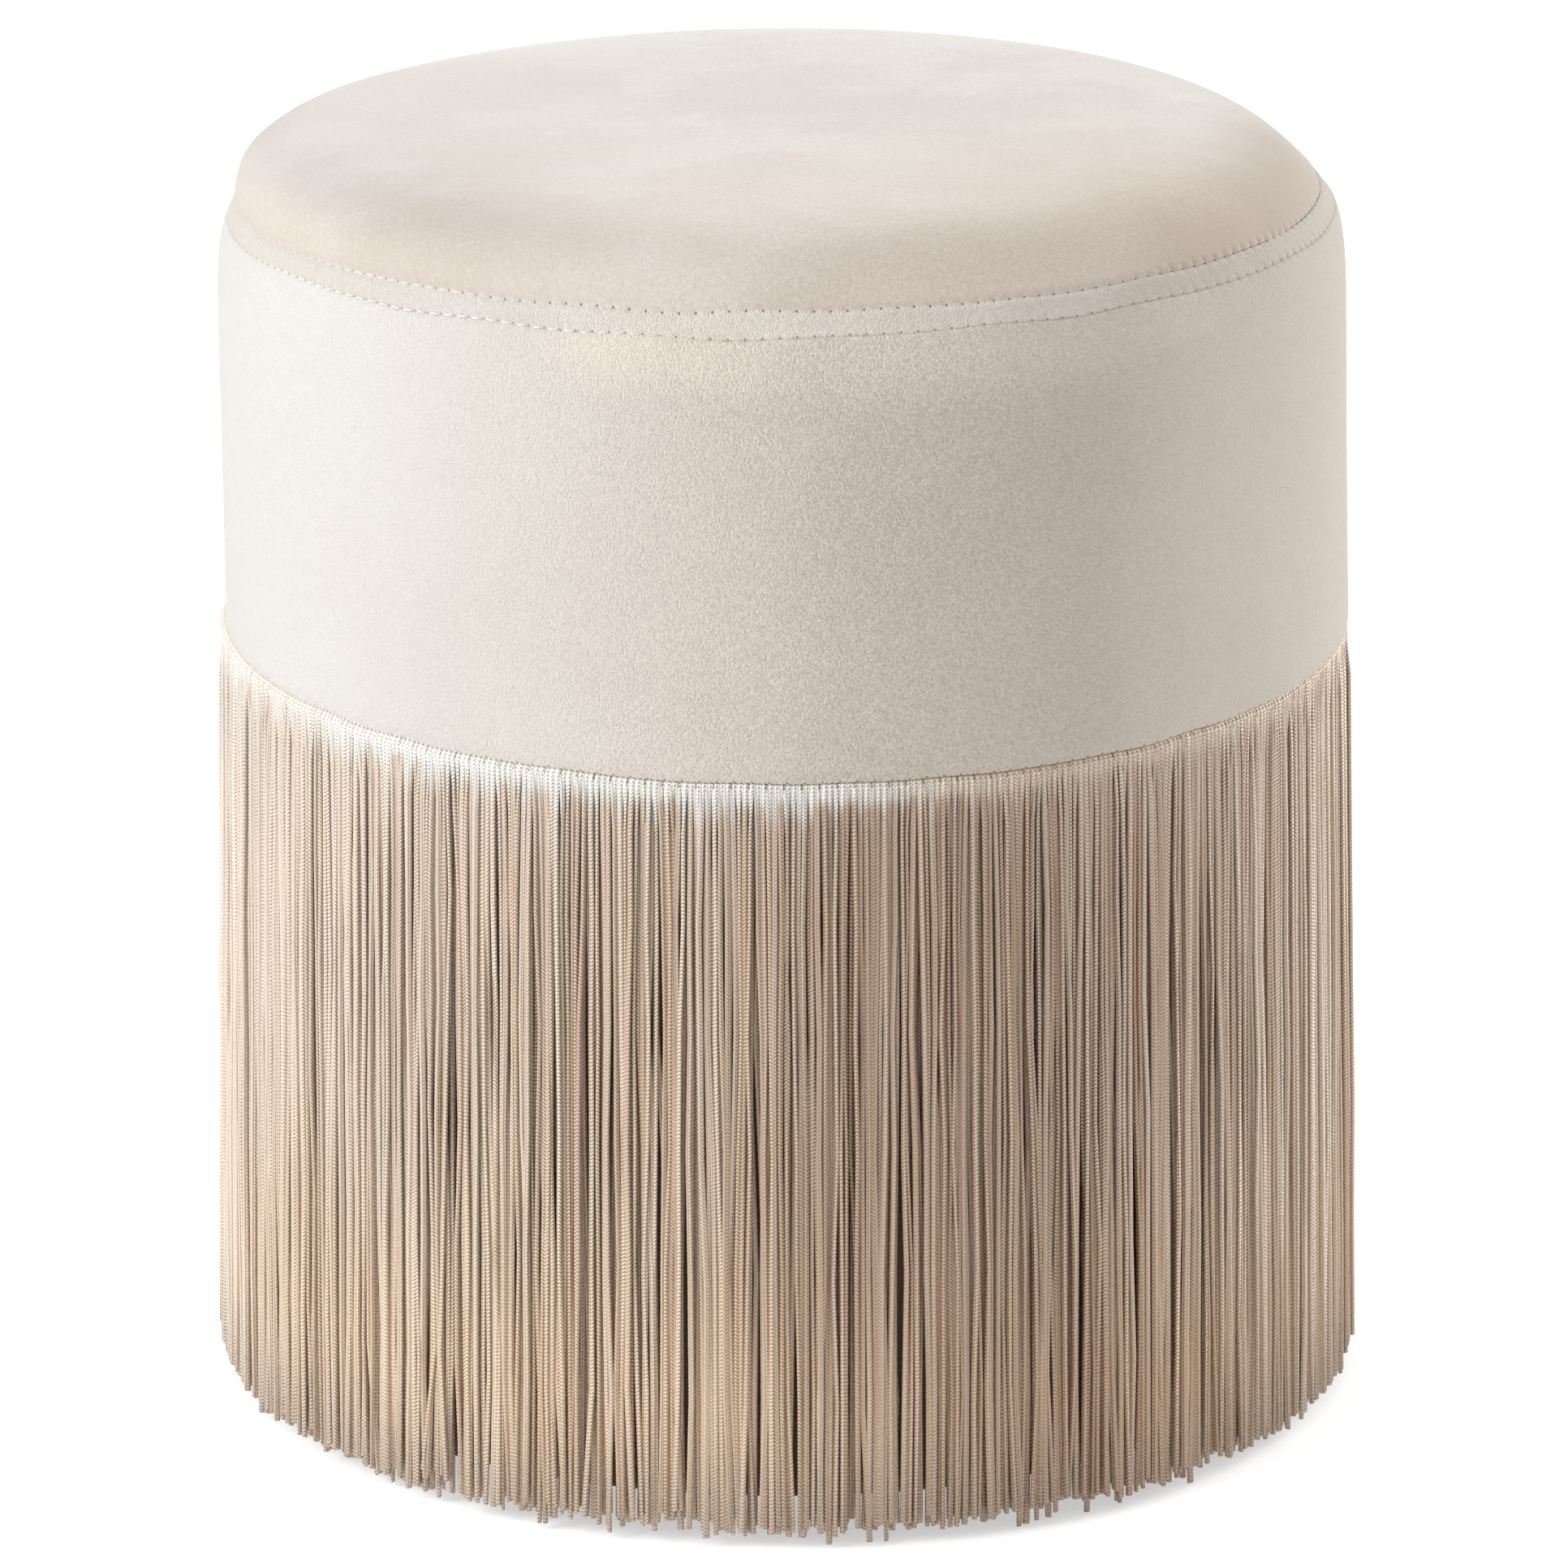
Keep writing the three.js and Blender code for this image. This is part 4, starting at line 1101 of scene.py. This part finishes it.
def make_camera():
    """Camera in front of the drum, looking down by its pitch, with its lens from pixels of a square image."""
    data = bpy.data.cameras.new("camera")
    data.sensor_width = SENSOR
    data.sensor_fit = "HORIZONTAL"
    data.lens = LENS_PIXELS * SENSOR / IMAGE_PIXELS
    data.clip_end = 60.0
    camera = bpy.data.objects.new("camera", data)
    camera.location = (0.0, -CAMERA_DISTANCE, CAMERA_HEIGHT)
    camera.rotation_euler = (math.pi / 2 - CAMERA_PITCH, 0.0, 0.0)
    bpy.context.scene.collection.objects.link(camera)
    bpy.context.scene.camera = camera


def make_lamp(name, place, size, power, colour=(1, 1, 1)):
    """A soft square lamp that faces the middle of the drum."""
    data = bpy.data.lights.new(name, "AREA")
    data.shape = "SQUARE"
    data.size = size
    data.energy = power
    data.color = colour
    lamp = bpy.data.objects.new(name, data)
    lamp.location = place
    aim = np.array([0.0, 0.0, 0.2]) - np.array(place)
    tip = math.atan2(math.hypot(aim[0], aim[1]), -aim[2])
    lamp.rotation_euler = (tip, 0.0, math.atan2(aim[0], -aim[1]) + math.pi)
    bpy.context.scene.collection.objects.link(lamp)


def make_world(level):
    """Even light from all round. What the camera, gloss and glass see of it is plain white."""
    world = bpy.data.worlds.new("studio")
    world.use_nodes = True
    bpy.context.scene.world = world
    n = Nodes(world.node_tree)
    strength = n.scaled(n.seen(), 1.0 - level, level)
    n.fill(n.tree.nodes["Background"], {"Color": (1.0, 1.0, 1.0, 1.0), "Strength": strength})


def make_floor():
    """Plain pale floor, a round disc. It takes the drum's shadow, and shows white where nothing shades it."""
    radii = np.array([0.3, 1.0, 3.0, 8.0])[::-1, None]
    rings = round_points(radii, round_angles(FLOOR_ROUND), 0.0)
    i = np.arange(FLOOR_ROUND)
    last, centre = (len(radii) - 1) * FLOOR_ROUND, len(radii) * FLOOR_ROUND
    fan = np.stack([last + i, last + (i + 1) % FLOOR_ROUND, np.full(FLOOR_ROUND, centre)], -1)
    points = np.concatenate([rings.reshape(-1, 3), [[0, 0, 0]]])
    floor = build_mesh("floor", points, [ring_faces(len(radii), FLOOR_ROUND), fan])
    material, n = new_finish("pale_floor")
    n.tree.nodes.remove(n.tree.nodes["Principled BSDF"])
    colour = n.blend(n.noise(n.place(), 30, 2.0), tone(242, 242, 242), tone(249, 249, 248))
    diffuse = n.add("BsdfDiffuse", {"Color": colour}).outputs[0]
    glow = n.add("Emission", {"Color": (1, 1, 1, 1), "Strength": n.times(n.seen(), 0.5)}).outputs[0]
    both = n.add("AddShader", {0: diffuse, 1: glow}).outputs[0]
    n.fill(n.tree.nodes["Material Output"], {"Surface": both})
    place_finish(floor, material)


def dress_cad_nodes(finishes):
    """Gives every CAD node that stays a finish by its record slot."""
    slots = {row["node"]: row["material_slot"] for row in frame["record"]["subparts"]}
    for name, node in frame["nodes"].items():
        if slots.get(name) in finishes:
            place_finish(node, finishes[slots[name]])


def make_threads():
    """Stitches of the two rows: in the crease of the seam, and in the groove of the topstitching."""
    angle = round_angles(ROUND)
    run = np.array([0.97, 0.985, 1.0, 1.02, 1.04, 1.94, 1.97, 2.0, 2.01, 2.02])
    surface = cover_surface(angle, run)
    seam_out, top_out = (section_frame(surface[part])[1][2] for part in (slice(0, 5), slice(5, 10)))
    tight = hump(angle, -133, 22)
    seam = thread_row("seam_thread", angle, surface[2], seam_out, SEAM_STITCH, 0.00080 - 0.00112 * tight, 71)
    top = thread_row("topstitch_thread", angle, surface[7], top_out, TOP_STITCH, 0.0010 - 0.00035 * tight, 72)
    return seam, top


def main():
    """Makes every piece, its finish and its place in the table."""
    make_camera()
    nap, needle, grain = nap_effect(), needle_effect(), grain_effect()
    wall_finish = velvet_finish("wall_pile", nap, needle, [0.9], 0.45, False)
    seat_finish = velvet_finish("seat_pile", nap, needle, [0.2, ROW_GAP_MM], 0.9, True)
    fringe_finish = cord_finish(chain_effect())
    sewing = thread_finish()
    lining_cloth = lining_finish(weave_effect())
    foam = foam_finish()
    nonwoven = nonwoven_finish()

    wall, seat = make_wall_velvet(), make_seat_velvet()
    seam_thread, topstitch_thread = make_threads()
    lining, dust = make_lining(), make_dust_cover()
    pad, wrap = make_seat_pad(), make_side_wrap()
    fringe = {side: make_fringe("fringe_cords_" + side, math.radians(degrees))
              for side, degrees in (("front", -90), ("right", 0), ("back", 90), ("left", 180))}

    rows = [(wall, wall_finish, "velvet", "side_cover"), (seat, seat_finish, "velvet", "seat_cover"),
            (lining, lining_cloth, "lining_cloth", "lower_lining"), (dust, nonwoven, "black_cloth", "dust_cover"),
            (pad, foam, "foam", "seat_foam"), (wrap, foam, "foam", "side_foam"),
            (seam_thread, sewing, "velvet", None), (topstitch_thread, sewing, "velvet", None)]
    rows += [(fringe[side], fringe_finish, "fringe_cord", "fringe_" + side) for side in fringe]
    for piece, finish, slot, node in rows:
        place_finish(piece, finish)
        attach(piece, "root")
        if node:
            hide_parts(node)

    dress_cad_nodes({"plywood": plywood_finish(grain), "softwood": pine_finish(grain),
                     "hardboard": hardboard_finish(), "black_plastic": plastic_finish(),
                     "zinc_steel": zinc_finish()})

    make_floor()
    make_world(0.51)
    make_lamp("key_left", (-2.67, -1.13, 1.50), 1.9, 71.0, (0.95, 0.98, 1.0))
    make_lamp("rim_right", (2.55, 1.99, 0.9), 1.4, 71.0)
    make_lamp("top_soft", (-0.5, 0.7, 2.7), 1.2, 10.5)
    bpy.context.scene.view_settings.view_transform = "Standard"


main()
